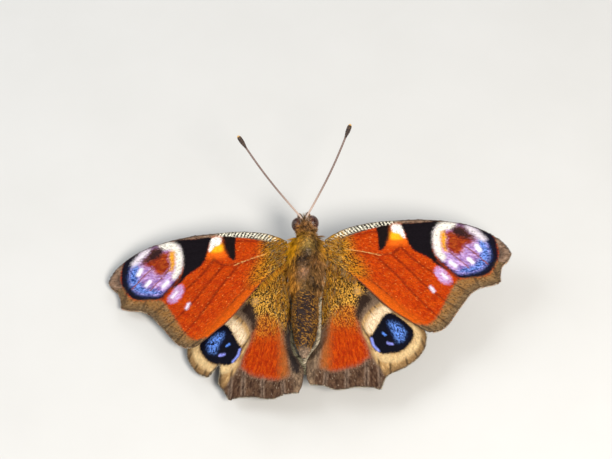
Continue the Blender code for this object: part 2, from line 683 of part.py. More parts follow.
def legs():
    mat = material("leg_brown")
    for leg, joints in LEG_JOINTS.items():
        for side, values in SIDES.items():
            hip, knee, heel, toe = leg_points(joints, values["mirror"])
            start = coxa_top(hip, values["mirror"])
            hip_cut = joint_planes(hip, hip - start, knee - hip)[1]
            knee_cuts = joint_planes(knee, knee - hip, heel - knee)
            ground = heel.lerp(toe, 0.4)
            ground.z = toe.z
            heel_cuts = joint_planes(heel, heel - knee, ground - heel)
            thick = LEG_THICK["femur"] / 2
            parts = [tube(f"{leg}_femur_{side}", [hip, hip.lerp(knee, 0.35), hip.lerp(knee, 0.75), knee],
                          [thick * 0.8, thick, thick * 0.95, thick * 0.8], 8, hip_cut, knee_cuts[0])]
            thick = LEG_THICK["tibia"] / 2
            parts.append(tube(f"{leg}_tibia_{side}", [knee, knee.lerp(heel, 0.3), knee.lerp(heel, 0.75), heel],
                              [thick, thick, thick * 0.95, thick], 8, knee_cuts[1], heel_cuts[0]))
            thick = LEG_THICK["tarsus"] / 2
            spots = [heel, heel.lerp(ground, 0.55), ground, ground.lerp(toe, 0.35), ground.lerp(toe, 0.7), toe]
            parts.append(tube(f"{leg}_tarsus_{side}", spots, [thick] * 6, 8, heel_cuts[1], None, True))
            for part in parts:
                part.data.materials.append(mat)


def forelegs():
    """The brush-like forelegs, too short to walk on, folded under the front of the thorax."""
    mat = material("leg_brown")
    for side, values in SIDES.items():
        m = values["mirror"]
        spots = [(0.9, 3.6, -2.6), (1.05, 4.3, -2.75), (1.15, 5.0, -2.7), (1.05, 5.5, -2.4), (0.95, 5.8, -2.0)]
        obj = tube("foreleg_" + side, [BODY @ Vector((m * x, y, z)) for x, y, z in spots],
                   [0.28, 0.3, 0.3, 0.27, 0.16])
        obj.data.materials.append(mat)


def wings():
    mat = material("wing_red")
    for side, values in SIDES.items():
        wing("forewing_" + side, list(FORE_OUTLINE.values()), FORE_VEINS, values, False, mat)
        runs = list(HIND_OUTLINE.values())
        if side == "left":
            runs = [runs[0]] + TORN_OUTER + runs[2:]
        wing("hindwing_" + side, runs, HIND_VEINS, values, True, mat)


def finish():
    """Centres the model over the origin and scales it to metres."""
    low = Vector((1e9, 1e9, 1e9))
    high = -low
    for obj in bpy.data.objects:
        for vert in obj.data.vertices:
            low = Vector(map(min, low, vert.co))
            high = Vector(map(max, high, vert.co))
    shift = Matrix.Translation((-(low.x + high.x) / 2, -(low.y + high.y) / 2, 0))
    for obj in bpy.data.objects:
        obj.data.transform(Matrix.Scale(MM, 4) @ shift)
        obj.data.shade_smooth()
        obj.data.set_sharp_from_angle(angle=math.radians(40))


clear_scene()
thorax()
abdomen()
head()
eyes()
palps()
proboscis()
antennae()
forelegs()
legs()
wings()
finish()
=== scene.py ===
import math

import bpy
import numpy as np
from mathutils import Matrix, Vector, noise
from mathutils.geometry import delaunay_2d_cdt


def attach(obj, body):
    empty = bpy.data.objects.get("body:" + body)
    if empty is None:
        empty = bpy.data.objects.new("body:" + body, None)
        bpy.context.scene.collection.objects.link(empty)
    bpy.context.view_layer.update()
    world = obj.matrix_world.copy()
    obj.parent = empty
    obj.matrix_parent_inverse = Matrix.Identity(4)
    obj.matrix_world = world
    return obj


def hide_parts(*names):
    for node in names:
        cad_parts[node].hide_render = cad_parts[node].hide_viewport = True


# Peacock butterfly at life size, basking with open wings. Shapes are in millimetres until they become meshes.
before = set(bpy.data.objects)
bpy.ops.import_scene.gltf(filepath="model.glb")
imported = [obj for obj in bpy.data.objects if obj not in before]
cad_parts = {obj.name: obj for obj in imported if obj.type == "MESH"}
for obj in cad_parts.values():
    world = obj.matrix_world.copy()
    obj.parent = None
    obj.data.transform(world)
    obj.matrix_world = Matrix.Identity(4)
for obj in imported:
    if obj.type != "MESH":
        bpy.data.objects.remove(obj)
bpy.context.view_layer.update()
perMetre = 1000
print("frame loaded")

# camera and light

view = {"elevation": 52.0, "distance": 350.0, "target": (-0.421, 8.3695, 5.0), "pixelsPerMm": 6.9,
        "imageWidth": 612, "sensor": 36.0, "near": 0.005, "far": 20}
lamps = {
    "key": {"place": (90, -200, 230), "size": 110, "power": 1.15, "colour": (1.0, 0.96, 0.9)},
    "fill": {"place": (-260, 60, 220), "size": 240, "power": 0.55, "colour": (0.9, 0.95, 1.0)},
    "rear": {"place": (60, 280, 160), "size": 200, "power": 0.3, "colour": (1.0, 1.0, 1.0)},
}
lampAim = (0, 0, 5)
sky = {"Color": (0.93, 0.96, 1.0, 1), "Strength": 0.3}


def deselectAll():
    if bpy.context.mode != "OBJECT":
        bpy.ops.object.mode_set(mode="OBJECT")
    bpy.ops.object.select_all(action="DESELECT")


def addObject(name, data, place=(0, 0, 0)):
    item = bpy.data.objects.new(name, data)
    item.location = Vector(place) / perMetre
    bpy.context.scene.collection.objects.link(item)
    return item


def placeCamera():
    lean = math.radians(view["elevation"])
    back = Vector((0, -math.cos(lean), math.sin(lean)))
    data = bpy.data.cameras.new("camera")
    data.sensor_width = view["sensor"]
    data.lens = view["sensor"] * view["pixelsPerMm"] * view["distance"] / view["imageWidth"]
    data.clip_start, data.clip_end = view["near"], view["far"]
    camera = addObject("camera", data, Vector(view["target"]) + back * view["distance"])
    camera.rotation_euler = (math.pi / 2 - lean, 0, 0)
    bpy.context.scene.camera = camera


def placeLamps():
    for name, lamp in lamps.items():
        data = bpy.data.lights.new(name, "AREA")
        data.shape = "DISK"
        data.size = lamp["size"] / perMetre
        data.energy = lamp["power"]
        data.color = lamp["colour"]
        aim = Vector(lampAim) - Vector(lamp["place"])
        addObject(name, data, lamp["place"]).rotation_euler = aim.to_track_quat("-Z", "Y").to_euler()
    world = bpy.data.worlds.new("studio")
    world.use_nodes = True
    for key, value in sky.items():
        world.node_tree.nodes["Background"].inputs[key].default_value = value
    bpy.context.scene.world = world
    bpy.context.scene.view_settings.view_transform = "Standard"


placeCamera()
placeLamps()
print("camera and light placed")

# shader maths


class Value:
    # wraps one socket, so that shader maths reads as an expression
    def __init__(self, finish, socket):
        self.finish = finish
        self.socket = socket

    def maths(self, operation, other=0.0, flipped=False):
        pair = {0: other, 1: self} if flipped else {0: self, 1: other}
        return self.finish.node("ShaderNodeMath", {"operation": operation}, pair)

    def __add__(self, other):
        return self.maths("ADD", other)

    def __sub__(self, other):
        return self.maths("SUBTRACT", other)

    def __rsub__(self, other):
        return self.maths("SUBTRACT", other, True)

    def __mul__(self, other):
        return self.maths("MULTIPLY", other)

    __radd__ = __add__
    __rmul__ = __mul__

    def rise(self, low, high):
        # 0 at low, 1 at high, with a soft change between them; low may be the greater
        places = {"Value": self, "From Min": low, "From Max": high}
        return self.finish.node("ShaderNodeMapRange", {"interpolation_type": "SMOOTHSTEP"}, places)


class Finish:
    # one material, with its nodes made by one method
    def __init__(self, name, **constants):
        self.material = bpy.data.materials.new(name)
        self.material.use_nodes = True
        self.tree = self.material.node_tree
        self.shader = self.tree.nodes["Principled BSDF"]
        self.feed(self.shader, {socket.replace("_", " "): value for socket, value in constants.items()})

    def feed(self, node, inputs):
        for key, value in inputs.items():
            if isinstance(value, Value):
                self.tree.links.new(value.socket, node.inputs[key])
            else:
                node.inputs[key].default_value = value

    def node(self, kind, settings, inputs, output=0):
        node = self.tree.nodes.new(kind)
        for key, value in settings.items():
            setattr(node, key, value)
        self.feed(node, inputs)
        return Value(self, node.outputs[output])

    def attribute(self, name, output="Fac"):
        return self.node("ShaderNodeAttribute", {"attribute_name": name}, {}, output)

    def place(self):
        return self.node("ShaderNodeTexCoord", {}, {}, "Object")

    def flat(self, x, y):
        return self.node("ShaderNodeCombineXYZ", {}, {"X": x, "Y": y})

    def grain(self, scale, detail=2.0, rough=0.55, at=None):
        places = {"Vector": at or self.place(), "Scale": scale, "Detail": detail, "Roughness": rough}
        return self.node("ShaderNodeTexNoise", {}, places, "Fac")

    def blend(self, share, under, over):
        under, over = [colour if isinstance(colour, Value) else (*colour, 1) for colour in (under, over)]
        return self.node("ShaderNodeMix", {"data_type": "RGBA"}, {"Factor": share, 6: under, 7: over}, 2)

    def cover(self, colour, *layers):
        # lays colours over the first one, each with its share
        for share, over in layers:
            colour = self.blend(share, colour, over)
        return colour

    def tint(self, colour, factor):
        # multiplies a colour by a number
        grey = self.node("ShaderNodeCombineColor", {}, {"Red": factor, "Green": factor, "Blue": factor})
        settings = {"data_type": "RGBA", "blend_type": "MULTIPLY"}
        return self.node("ShaderNodeMix", settings, {"Factor": 1.0, 6: colour, 7: grey}, 2)

    def finishWith(self, colour, roughness=None, height=None, relief=0.00002, strength=0.6):
        looks = {"Base Color": colour}
        if roughness:
            looks["Roughness"] = roughness
        if height:
            bump = {"Height": height, "Distance": relief, "Strength": strength}
            looks["Normal"] = self.node("ShaderNodeBump", {}, bump, "Normal")
        self.feed(self.shader, looks)
        return self.material


# the animal's stance, as in the solids

stance = {"height": 7.4, "pitch": 10.0, "roll": -4.5, "yaw": -2.2, "shift": (-0.386, -0.9835)}
neck = {"at": (0, 5.5, 0.5), "bend": 0.6, "yaw": 9.0}
hinge = {"at": (2.05, 2.75, 0.63), "hindBack": 2.5, "hindDrop": 1.1}
sides = {
    "left": {"mirror": -1, "droop": 6.5, "arch": 0.0022, "foreSweep": 3.95, "hindSweep": 0.37, "slide": -0.63},
    "right": {"mirror": 1, "droop": 6.0, "arch": 0.0030, "foreSweep": -3.95, "hindSweep": -0.37, "slide": 0.63},
}
# a hindwing folds down beside the abdomen; its inner edge turns inward from tailFrom backward
fold = {"depth": 0.85, "width": 1.25, "inner": 0.3, "tailInner": -1.68, "tailFrom": 10.6, "tailRun": 4.2,
        "from": 1.5, "run": 3.0, "fadeFrom": 14.5, "fadeRun": 3.5, "fade": 0.7}

bodyTurn = (Matrix.Rotation(math.radians(stance["yaw"]), 4, "Z")
            @ Matrix.Rotation(math.radians(stance["roll"]), 4, "Y")
            @ Matrix.Rotation(math.radians(stance["pitch"]), 4, "X"))
bodyPlace = Matrix.Translation((*stance["shift"], stance["height"])) @ bodyTurn


def unit(vectors):
    return vectors / np.maximum(np.linalg.norm(vectors, axis=1), 1e-9)[:, None]


def smooth(t):
    t = np.clip(t, 0.0, 1.0)
    return t * t * (3 - 2 * t)


def mirrored(points, side):
    return np.array(points, float) * (sides[side]["mirror"], 1, 1)


def turned(points, matrix):
    return points @ np.array(matrix.to_3x3()).T + np.array(matrix.to_translation())


def spun(points, angle):
    # turned in the plane of the first two axes
    x, y = points[:, 0], points[:, 1]
    flat = [x * np.cos(angle) - y * np.sin(angle), x * np.sin(angle) + y * np.cos(angle)]
    return np.hstack([np.stack(flat, 1), points[:, 2:]])


def headAngle(along):
    return np.radians(neck["yaw"]) * smooth((along - neck["at"][1]) / neck["bend"])


def bodyPoints(points):
    # the head turns left about the neck, and then the whole body takes its place
    return turned(spun(points - np.array(neck["at"]), headAngle(points[:, 1])) + neck["at"], bodyPlace)


def bodyVectors(vectors, along):
    return turned(spun(vectors, headAngle(along)), bodyTurn)


def wingPlace(wing, side, places, lift):
    # places on a wing, in millimetres over the floor
    pose = sides[side]
    out, back = places.T
    sweep = math.radians(-pose["hindSweep" if wing["hind"] else "foreSweep"])
    x = out * math.cos(sweep) + back * math.sin(sweep)
    y = out * math.sin(sweep) - back * math.cos(sweep)
    z = lift - pose["arch"] * np.maximum(x, 0) ** 2
    if wing["hind"]:
        tail = smooth((back - fold["tailFrom"]) / fold["tailRun"])
        inner = fold["inner"] + (fold["tailInner"] - fold["inner"]) * tail
        beside = smooth((inner + fold["width"] - out) / fold["width"])
        fade = fold["fade"] * smooth((back - fold["fadeFrom"]) / fold["fadeRun"])
        along = smooth((back - fold["from"]) / fold["run"]) * (1 - fade)
        y = y - (hinge["hindBack"] - pose["slide"])
        z = z - hinge["hindDrop"] - fold["depth"] * beside * along
    points = turned(np.stack([x, y, z], 1), Matrix.Rotation(math.radians(pose["droop"]), 4, "Y"))
    return turned(mirrored(points + np.array(hinge["at"]), side), bodyPlace)


# meshes from arrays


def catmull(points, step, closed=False):
    # even points along a smooth curve through the given ones
    pts = np.array(points, float)
    if closed:
        ends = np.concatenate([pts[-1:], pts, pts[:2]])
    else:
        ends = np.concatenate([2 * pts[:1] - pts[1:2], pts, 2 * pts[-1:] - pts[-2:-1]])
    dense = []
    for p0, p1, p2, p3 in zip(ends, ends[1:], ends[2:], ends[3:]):
        for t in np.arange(0, 1, 1 / 16):
            dense.append(0.5 * (2 * p1 + (p2 - p0) * t + (2 * p0 - 5 * p1 + 4 * p2 - p3) * t * t
                                + (3 * p1 - p0 - 3 * p2 + p3) * t ** 3))
    dense = np.array([*dense, ends[-2]])
    run = np.concatenate([[0], np.cumsum(np.linalg.norm(np.diff(dense, axis=0), axis=1))])
    goals = np.linspace(0, run[-1], max(1, round(run[-1] / step)) + 1)
    even = np.stack([np.interp(goals, run, column) for column in dense.T], 1)
    return even[:-1] if closed else even


def spread(values, count):
    # even steps along a short list of values
    return np.interp(np.linspace(0, 1, count), np.linspace(0, 1, len(values)), values)


def pathDistance(places, path):
    nearest = np.full(len(places), 1e9)
    for start, end in zip(path, path[1:]):
        step = end - start
        share = np.clip((places - start) @ step / max(step @ step, 1e-12), 0, 1)
        away = places - start - share[:, None] * step
        nearest = np.minimum(nearest, np.hypot(away[:, 0], away[:, 1]))
    return nearest


def shapeDistance(places, loop):
    # negative inside the loop
    inside = np.zeros(len(places), bool)
    for start, end in zip(loop, np.roll(loop, -1, 0)):
        crosses = (start[1] > places[:, 1]) != (end[1] > places[:, 1])
        slope = (end[0] - start[0]) / ((end[1] - start[1]) or 1e-9)
        inside ^= crosses & (places[:, 0] < slope * (places[:, 1] - start[1]) + start[0])
    away = pathDistance(places, np.concatenate([loop, loop[:1]]))
    return np.where(inside, -away, away)


def nearestIndex(places, goals):
    # in blocks, to spare memory
    size = 4000
    blocks = [places[start:start + size] for start in range(0, len(places), size)]
    return np.concatenate([np.linalg.norm(block[:, None] - goals, axis=2).argmin(1) for block in blocks])


def setValue(mesh, key, numbers):
    mesh.attributes.new(key, "FLOAT", "POINT").data.foreach_set("value", np.asarray(numbers, np.float32))


def makeMesh(name, points, faces, finish, values=None, coat=None, bakePlaces=None, flat=False):
    # points in millimetres; values and coat colours are attributes of the points
    mesh = bpy.data.meshes.new(name)
    mesh.from_pydata(np.asarray(points) / perMetre, [], [tuple(face) for face in faces])
    for key, numbers in (values or {}).items():
        setValue(mesh, key, numbers)
    if coat is not None:
        full = np.ones((len(points), 4), np.float32)
        full[:, :3] = coat
        mesh.attributes.new("coat", "FLOAT_COLOR", "POINT").data.foreach_set("color", full.ravel())
    if bakePlaces is not None:
        corners = np.zeros(len(mesh.loops), np.int32)
        mesh.loops.foreach_get("vertex_index", corners)
        unwrap = mesh.uv_layers.new(name="OFBake")
        unwrap.data.foreach_set("uv", np.asarray(bakePlaces, np.float32)[corners].ravel())
    if not flat:
        mesh.shade_smooth()
    mesh.materials.append(finish)
    return addObject(name, mesh)


def ringFaces(rings, around, flipped=False):
    # quads between rings of points, and a face on each end
    index = np.arange(rings * around).reshape(rings, around)
    near, far = index[:-1], index[1:]
    faces = np.stack([near, np.roll(near, -1, 1), np.roll(far, -1, 1), far], 2).reshape(-1, 4).tolist()
    faces += [index[0][::-1].tolist(), index[-1].tolist()]
    return [face[:1] + face[:0:-1] for face in faces] if flipped else faces


def manySolids(name, corners, template, finish, values, patch, centres, coat=None, flat=False):
    # one small closed solid for each centre of the bake sheet, all with the same faces
    count, size = len(centres), len(corners)
    points = np.stack(corners, 1).reshape(-1, 3)
    faces = (np.arange(count)[:, None, None] * size + np.array(template)).reshape(-1, 3)
    values = {key: np.broadcast_to(numbers, (count, size)).ravel() for key, numbers in values.items()}
    bakePlaces = (centres[:, None] + np.array(patch)).reshape(-1, 2)
    if coat is not None:
        coat = np.repeat(coat, size, 0)
    return makeMesh(name, points, faces, finish, values, coat, bakePlaces, flat)


def settle(slot, *pieces):
    for piece in pieces:
        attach(piece, "root")


# wings, in the wing's own plane: outward from the hinge and then backward
# markings in painting order: colour, edge softness, edge raggedness, a line's half width or None, and the course

foreMarkings = {
    "innerGlow": ((0.6, 0.1, 0.004), 1.2, 0.3, None, [
        (3, 2), (6.5, 4.7), (10.5, 8.5), (14, 11.5), (15.6, 12.4), (15.2, 13.5), (11.5, 12.4), (4, 6),
        (1.5, 3.2)]),
    "rootGold": ((0.5, 0.2, 0.01), 1.5, 1.2, None, [
        (1.2, -2.3), (2.8, -2.6), (4, -2.3), (4.5, -1.2), (4.5, 0), (5.6, 1.6), (6.2, 3.8), (4.2, 4.2), (2.2, 2.6),
        (1, 0)]),
    "rootBrown": ((0.42, 0.25, 0.06), 0.9, 0.7, None, [
        (0, -2), (1.6, -1.9), (2.3, -1), (2.6, 0.4), (3.3, 2.4), (3, 3.6), (1, 2.6), (0, 1.6)]),
    "cellLine": ((0.82, 0.5, 0.16), 0.07, 0.1, 0.035, [(3.6, -0.4), (5.6, 0.05), (8.4, 0.75)]),
    "backLine": ((0.2, 0.03, 0.005), 0.12, 0.1, 0.06, [(3, 1.5), (5.1, 3), (6.6, 4.4), (9.6, 7.4)]),
    "costalBand": ((0.21, 0.125, 0.08), 0.14, 0.08, None, [
        (0.3, -2.2), (2.2, -3.3), (4.4, -4.3), (7.6, -5), (11, -5.3), (14.4, -5.5), (17.6, -5.4), (20.8, -5),
        (23.5, -4.2), (25.5, -3), (27.2, -1.4), (28, -0.1), (27.2, 1.5), (26, 2.2), (25.2, 1.4), (25.45, -0.3),
        (25.1, -2), (24.3, -3.3), (22.5, -4.15), (20, -4.5), (17.5, -4.6), (14, -4.4), (11, -4.15), (8.1, -3.7),
        (5.5, -2.95), (3.6, -2.2), (2, -1.35), (0.6, -1)]),
    "rootYellow": ((0.72, 0.34, 0.01), 0.2, 0.15, None, [
        (0.2, -1.6), (0.6, -2.7), (1.9, -3.4), (2, -2.5), (1, -2)]),
    "wedge": ((0.009, 0.005, 0.005), 0.14, 0.1, None, [
        (8.1, -3.75), (10.15, -4.1), (10.1, -3.2), (9.85, -2.2), (9.4, -1.2), (8.9, -0.5), (8.3, -0.02),
        (8.15, -0.9), (8.12, -2.4)]),
    "orangeFade": ((0.72, 0.12, 0.006), 0.5, 0.2, None, [
        (9.5, -0.9), (9.95, -2.4), (10.25, -4), (11.75, -4), (12.2, -2.5), (12.55, -1.2), (11, -0.8)]),
    "yellowFade": ((0.86, 0.42, 0.012), 0.32, 0.16, None, [
        (9.95, -1.95), (10.2, -3.1), (11.3, -3), (11.75, -1.9), (10.8, -1.75)]),
    "whitePatch": ((0.88, 0.86, 0.8), 0.16, 0.12, None, [
        (10.3, -4.08), (11.65, -4.12), (11.95, -3), (12.1, -2.1), (11.7, -2.1), (11.2, -2.65), (10.25, -3.1)]),
    "blackPatch": ((0.006, 0.004, 0.006), 0.16, 0.14, None, [
        (11.7, -4.3), (14.3, -4.5), (17.2, -4.7), (16.4, -3), (16, -1.6), (15.95, -0.3), (16.3, 1), (17.1, 2),
        (17.9, 2.85), (17.2, 2.75), (16.2, 2), (15.2, 1.05), (14.2, 0.45), (13.3, -0.1), (12.7, -0.8),
        (12.35, -1.7), (12.05, -2.9)]),
    "eyeBlack": ((0.006, 0.005, 0.012), 0.12, 0.14, None, [
        (16.9, -4.4), (16.25, -3.4), (15.95, -1.9), (16, -0.3), (16.5, 1.1), (17.4, 2.2), (18.5, 3.3), (19.5, 4.1),
        (21, 4.15), (22.6, 3.85), (24, 3.1), (25, 1.6), (25.35, -0.2), (25.1, -2), (24.35, -3.4), (23.2, -4.1),
        (21.6, -4.45), (19.5, -4.65), (18, -4.8)]),
    "eyeLilac": ((0.24, 0.12, 0.36), 0.2, 0.3, None, [
        (16.6, -3.9), (16.1, -2.2), (16.1, -0.4), (16.7, 1), (17.6, 2.05), (18.8, 3.15), (19.6, 3.6), (21.2, 3.35),
        (22.7, 2.75), (23.7, 1.7), (24.15, 0.1), (23.9, -1.5), (23.1, -2.9), (22.4, -3.75), (20.9, -4.25),
        (18.6, -4.6)]),
    "eyeBlue": ((0.16, 0.28, 0.7), 0.45, 0.65, None, [
        (22.8, -2.6), (23.8, -1.7), (24.25, 0.1), (23.8, 1.7), (22.7, 2.75), (21.3, 3.35), (19.5, 3.45), (19.1, 3),
        (20.3, 2.5), (21.5, 2), (22.3, 1.1), (22.7, 0), (22.5, -1.2)]),
    "eyeWhite": ((0.83, 0.79, 0.7), 0.34, 0.34, None, [
        (16.85, -4.2), (16.2, -3.2), (15.98, -1.8), (16.05, -0.4), (16.5, 0.7), (17.3, 1.5), (17.7, 0.9),
        (17.25, 0.1), (17.15, -0.8), (17.2, -1.9), (17.35, -2.8), (18, -3.4), (18.9, -3.5), (19.6, -4.1),
        (19.5, -4.65), (18, -4.8)]),
    "eyeStreak": ((0.7, 0.64, 0.68), 0.4, 0.4, None, [
        (20.8, -4.2), (22, -4.05), (23, -3.2), (23.75, -2.3), (23.6, -1.8), (22.8, -2), (21.9, -2.7),
        (21.1, -3.4)]),
    "eyeShade": ((0.1, 0.035, 0.022), 0.45, 0.5, None, [
        (19.2, -4.1), (20.6, -4.25), (21.3, -3.3), (22.3, -2.3), (22, -1.7), (20.5, -2.4), (19, -2.9)]),
    "eyeYellow": ((0.84, 0.42, 0.02), 0.35, 0.35, None, [
        (17.25, -3), (17.9, -3.1), (18.1, -2.2), (17.9, -1.2), (18, -0.3), (18.2, 0.1), (17.5, 0), (17.2, -0.9),
        (17.15, -2)]),
    "eyeRed": ((0.24, 0.022, 0.006), 0.4, 0.45, None, [
        (18, -3), (19.3, -3.2), (20.6, -2.9), (21.7, -2), (21.6, -1.4), (20.6, -1), (20.3, -0.2), (19.4, 0.5),
        (18.5, 0.1), (17.85, -0.8), (18.1, -1.9)]),
    "eyeSoot": ((0.03, 0.012, 0.012), 0.45, 0.5, None, [
        (19, -3.7), (20.2, -3.9), (21, -3), (21.5, -2.1), (20.4, -2.2), (19.2, -2.7)]),
    "dotOne": ((0.86, 0.85, 0.95), 0.3, 0.25, 0.27, [(18.3, 1.7), (19, 2.3)]),
    "dotTwo": ((0.88, 0.87, 0.95), 0.2, 0.12, 0.28, [(21, 1.1), (21.5, 1.6)]),
    "dotThree": ((0.88, 0.87, 0.95), 0.22, 0.12, 0.33, [(22.3, -1), (22.7, -0.3)]),
    "rustLineOne": ((0.24, 0.06, 0.03), 0.08, 0.07, 0.09, [(18.2, 0), (19.2, 1), (20.9, 2.6)]),
    "rustLineTwo": ((0.24, 0.06, 0.03), 0.08, 0.07, 0.09, [(20.4, -1.1), (21.9, 0.1), (23.7, 1.8)]),
    "underLine": ((0.13, 0.02, 0.008), 0.16, 0.12, 0.12, [(16.4, 1.5), (17.4, 2.5), (18.4, 3.4), (19.4, 4.3)]),
    "lilacPatch": ((0.45, 0.2, 0.4), 0.22, 0.28, None, [
        (16.3, 2.4), (17.2, 2.8), (18, 3.8), (18.35, 4.7), (17.9, 5.25), (17, 5), (16.2, 4.1), (15.9, 3.1)]),
    "lilacHeart": ((0.9, 0.87, 0.95), 0.3, 0.3, 0.2, [(17, 3.6), (17.6, 4.3)]),
    "whiteDot": ((0.8, 0.75, 0.92), 0.25, 0.25, 0.21, [(15.25, 5.75), (15.55, 6.35)]),
    "border": ((0.25, 0.12, 0.036), 0.28, 0.25, None, [
        (25.1, 1.3), (24.2, 3.05), (22.6, 3.85), (20.6, 4.15), (19.3, 4.4), (18.5, 5.4), (17.8, 6.6), (17.1, 8),
        (16.3, 9.5), (15.4, 10.8), (14.2, 11.6), (12.6, 11.5), (15, 13.6), (17.5, 12.8), (20.2, 9.3), (22.5, 6.6),
        (26, 5.6), (26.4, 2.2)]),
}
hindMarkings = {
    "basal": ((0.02, 0.011, 0.007), 0.9, 0.5, None, [
        (0, -1.5), (3, -2.5), (6, -1), (7, 2.5), (6, 4.5), (5.3, 6.1), (3.6, 7), (1.6, 7.8), (0, 8.4)]),
    "redField": ((0.32, 0.021, 0.001), 0.7, 0.6, None, [
        (1.5, 7.6), (3.1, 6.2), (4.9, 6.2), (5.7, 9.2), (6.3, 10.8), (6.9, 12.4), (6.9, 14), (5.6, 15.1),
        (3.6, 15.8), (1.6, 16.2), (0.2, 15.4), (0.2, 13), (0.9, 10.6)]),
    "brownBorder": ((0.035, 0.016, 0.01), 0.35, 0.4, None, [
        (-2.6, 15.6), (-0.8, 15.7), (1.4, 16.3), (3.6, 16), (5.6, 15.3), (6.9, 14.2), (7.8, 14.6), (8.6, 15.6),
        (9.6, 16.2), (9.6, 19.6), (3, 20), (-2.6, 19.4)]),
    "analBrown": ((0.1, 0.062, 0.04), 0.5, 0.3, None, [
        (-0.4, 10.4), (0.3, 11.5), (0.2, 14), (-0.4, 16), (-0.8, 19), (-2.6, 19), (-2.6, 13)]),
    # painted shade: a dark band along the left hindwing's folded inner margin, where the fold lies in shade
    "innerFoldShade": ((0.03, 0.022, 0.02), 0.4, 0.3, 0.6, [(0.35, 6.2), (0.5, 9), (-0.1, 12), (-0.75, 14.6)]),
    "buffRing": ((0.36, 0.2, 0.075), 0.24, 0.18, None, [
        (9.4, 5), (7.7, 5.8), (6.6, 7), (5.95, 8.4), (6, 9.8), (6.6, 11.3), (7.2, 12.8), (7.8, 14.2), (8.7, 15.6),
        (9.6, 16.8), (11.5, 16.4), (14, 14.6), (15.6, 12), (15.8, 9), (13, 6.2), (11, 4.8)]),
    "creamRing": ((0.84, 0.68, 0.46), 0.4, 0.2, None, [
        (9.3, 5.7), (8, 6.4), (7, 7.6), (6.5, 8.8), (6.6, 9.8), (7.2, 10.2), (7.8, 9.6), (8.4, 8.4), (9.4, 7.2),
        (10.4, 6.4)]),
    "creamOuter": ((0.66, 0.48, 0.24), 0.3, 0.2, None, [
        (12.8, 8.4), (13.7, 9), (14.3, 10.2), (13.8, 12), (12.4, 13.6), (10.4, 14.5), (8.6, 14.3), (7.6, 13),
        (8.2, 12.6), (9.6, 13.2), (11.4, 12.9), (12.8, 11.4), (13.2, 10)]),
    "darkPatch": ((0.03, 0.017, 0.012), 0.45, 0.25, None, [
        (5.9, 4), (6.9, 4.2), (7.3, 5), (6.6, 5.9), (5.9, 7), (5.6, 8.3), (5, 7.6), (5.1, 6.2), (5.4, 4.9)]),
    "paleTuft": ((0.5, 0.29, 0.11), 0.35, 0.8, None, [(5, 3.2), (5.6, 3.5), (5.4, 4), (5, 4)]),
    "eyeBlack": ((0.004, 0.004, 0.009), 0.12, 0.14, None, [
        (9.6, 6.9), (10.6, 7.1), (11.9, 8), (13.05, 9.2), (13.2, 10.2), (12.6, 11.5), (11.6, 12.6), (10.3, 13.05),
        (9, 13.2), (7.9, 12.8), (7.25, 11.8), (7.05, 10.8), (7.7, 9.8), (8.35, 8.5), (8.9, 7.5)]),
    "eyeBlue": ((0.13, 0.28, 0.78), 0.35, 0.7, None, [
        (9.6, 8.1), (10.8, 8.2), (12, 9.3), (12.2, 10.2), (11.7, 11.2), (10.7, 11.4), (10.4, 10.4), (9.8, 9.3)]),
    "eyeDot": ((0.1, 0.25, 0.78), 0.1, 0.12, 0.17, [(8.9, 10.1), (9.2, 10.3)]),
    "eyeViolet": ((0.25, 0.27, 0.75), 0.12, 0.14, 0.2, [(9.6, 11.6), (10.2, 11.65)]),
    "eyeArc": ((0.25, 0.3, 0.78), 0.14, 0.12, 0.17, [(7.3, 11), (7.6, 12), (8.3, 12.75)]),
}
# the painted shade of the fold stays on the left hindwing and is moved off the right one
leftShadeOnly = {"markings": ("innerFoldShade",), "awayOnRight": 9.0}
foreWing = {
    "hind": False,
    "markings": foreMarkings,
    "outline": [
        [(0.67, -1.9), (2.2, -2.9), (4.4, -3.85), (7.6, -4.55), (11, -4.85), (14.4, -5.02), (17.6, -4.88),
         (20.8, -4.5), (23.3, -3.6), (25.1, -2.6), (26.5, -1.35), (27.3, -0.1)],
        [(27.3, -0.1), (26.75, 1.1), (25.8, 2.1), (25.45, 3.2), (25.3, 4.7)],
        [(25.3, 4.7), (23.9, 5.2), (22.3, 5.65), (20.9, 6.6), (19.9, 7.9), (19, 9.1), (18.15, 10.3),
         (17.25, 11.55), (16.2, 12.4), (15.1, 12.75)],
        [(15.1, 12.75), (14.2, 12.6), (11.6, 10.8), (9.1, 9), (5.3, 4.9), (2.6, 2.6), (0.67, 1.3)],
    ],
    "veins": {
        "Sc": [(0.67, -1.3), (4.2, -3.2), (8.5, -4), (12, -4.45), (14.4, -5.02)],
        "R": [(0.67, -0.75), (3.5, -2.1), (7, -2.9), (10.6, -3.2), (15, -3.3), (19.5, -3), (26.5, -1.35)],
        "R1": [(7, -2.9), (12.5, -3.9), (17.6, -4.88)],
        "cellEnd": [(10.6, -3.2), (11.5, -1.8), (11.3, -0.6)],
        "M1": [(11.2, -2.4), (16, -2.3), (21.2, -1.3), (23.9, 1.3), (25.3, 4.7)],
        "M2": [(11.5, -1.6), (15, -0.9), (18.1, 0.4), (21, 3.2), (22.3, 5.65)],
        "M3": [(11.3, -0.6), (14, 2.2), (18, 4.8), (20.9, 6.6)],
        "Cu": [(0.67, -0.1), (3.4, 0), (7.4, 0.5), (9.9, 0.5), (11.3, -0.6)],
        "CuA1": [(9.9, 0.5), (12, 2.7), (14.5, 5.5), (17, 7.7), (19, 9.1)],
        "CuA2": [(7.4, 0.5), (10.7, 4.1), (12.4, 6.4), (14.6, 9), (17.25, 11.55)],
        "2A": [(0.67, 0.6), (2.6, 1.2), (4.9, 3.2), (7.6, 5.5), (10.3, 8.4), (13, 11.1), (15.1, 12.75)],
    },
    "fan": (-6.0, -2.5),  # scales lie along lines from here
    "middle": -0.12,  # height of the sheet in its solid
    "bakeCorner": (-1.0, -6.0),
}
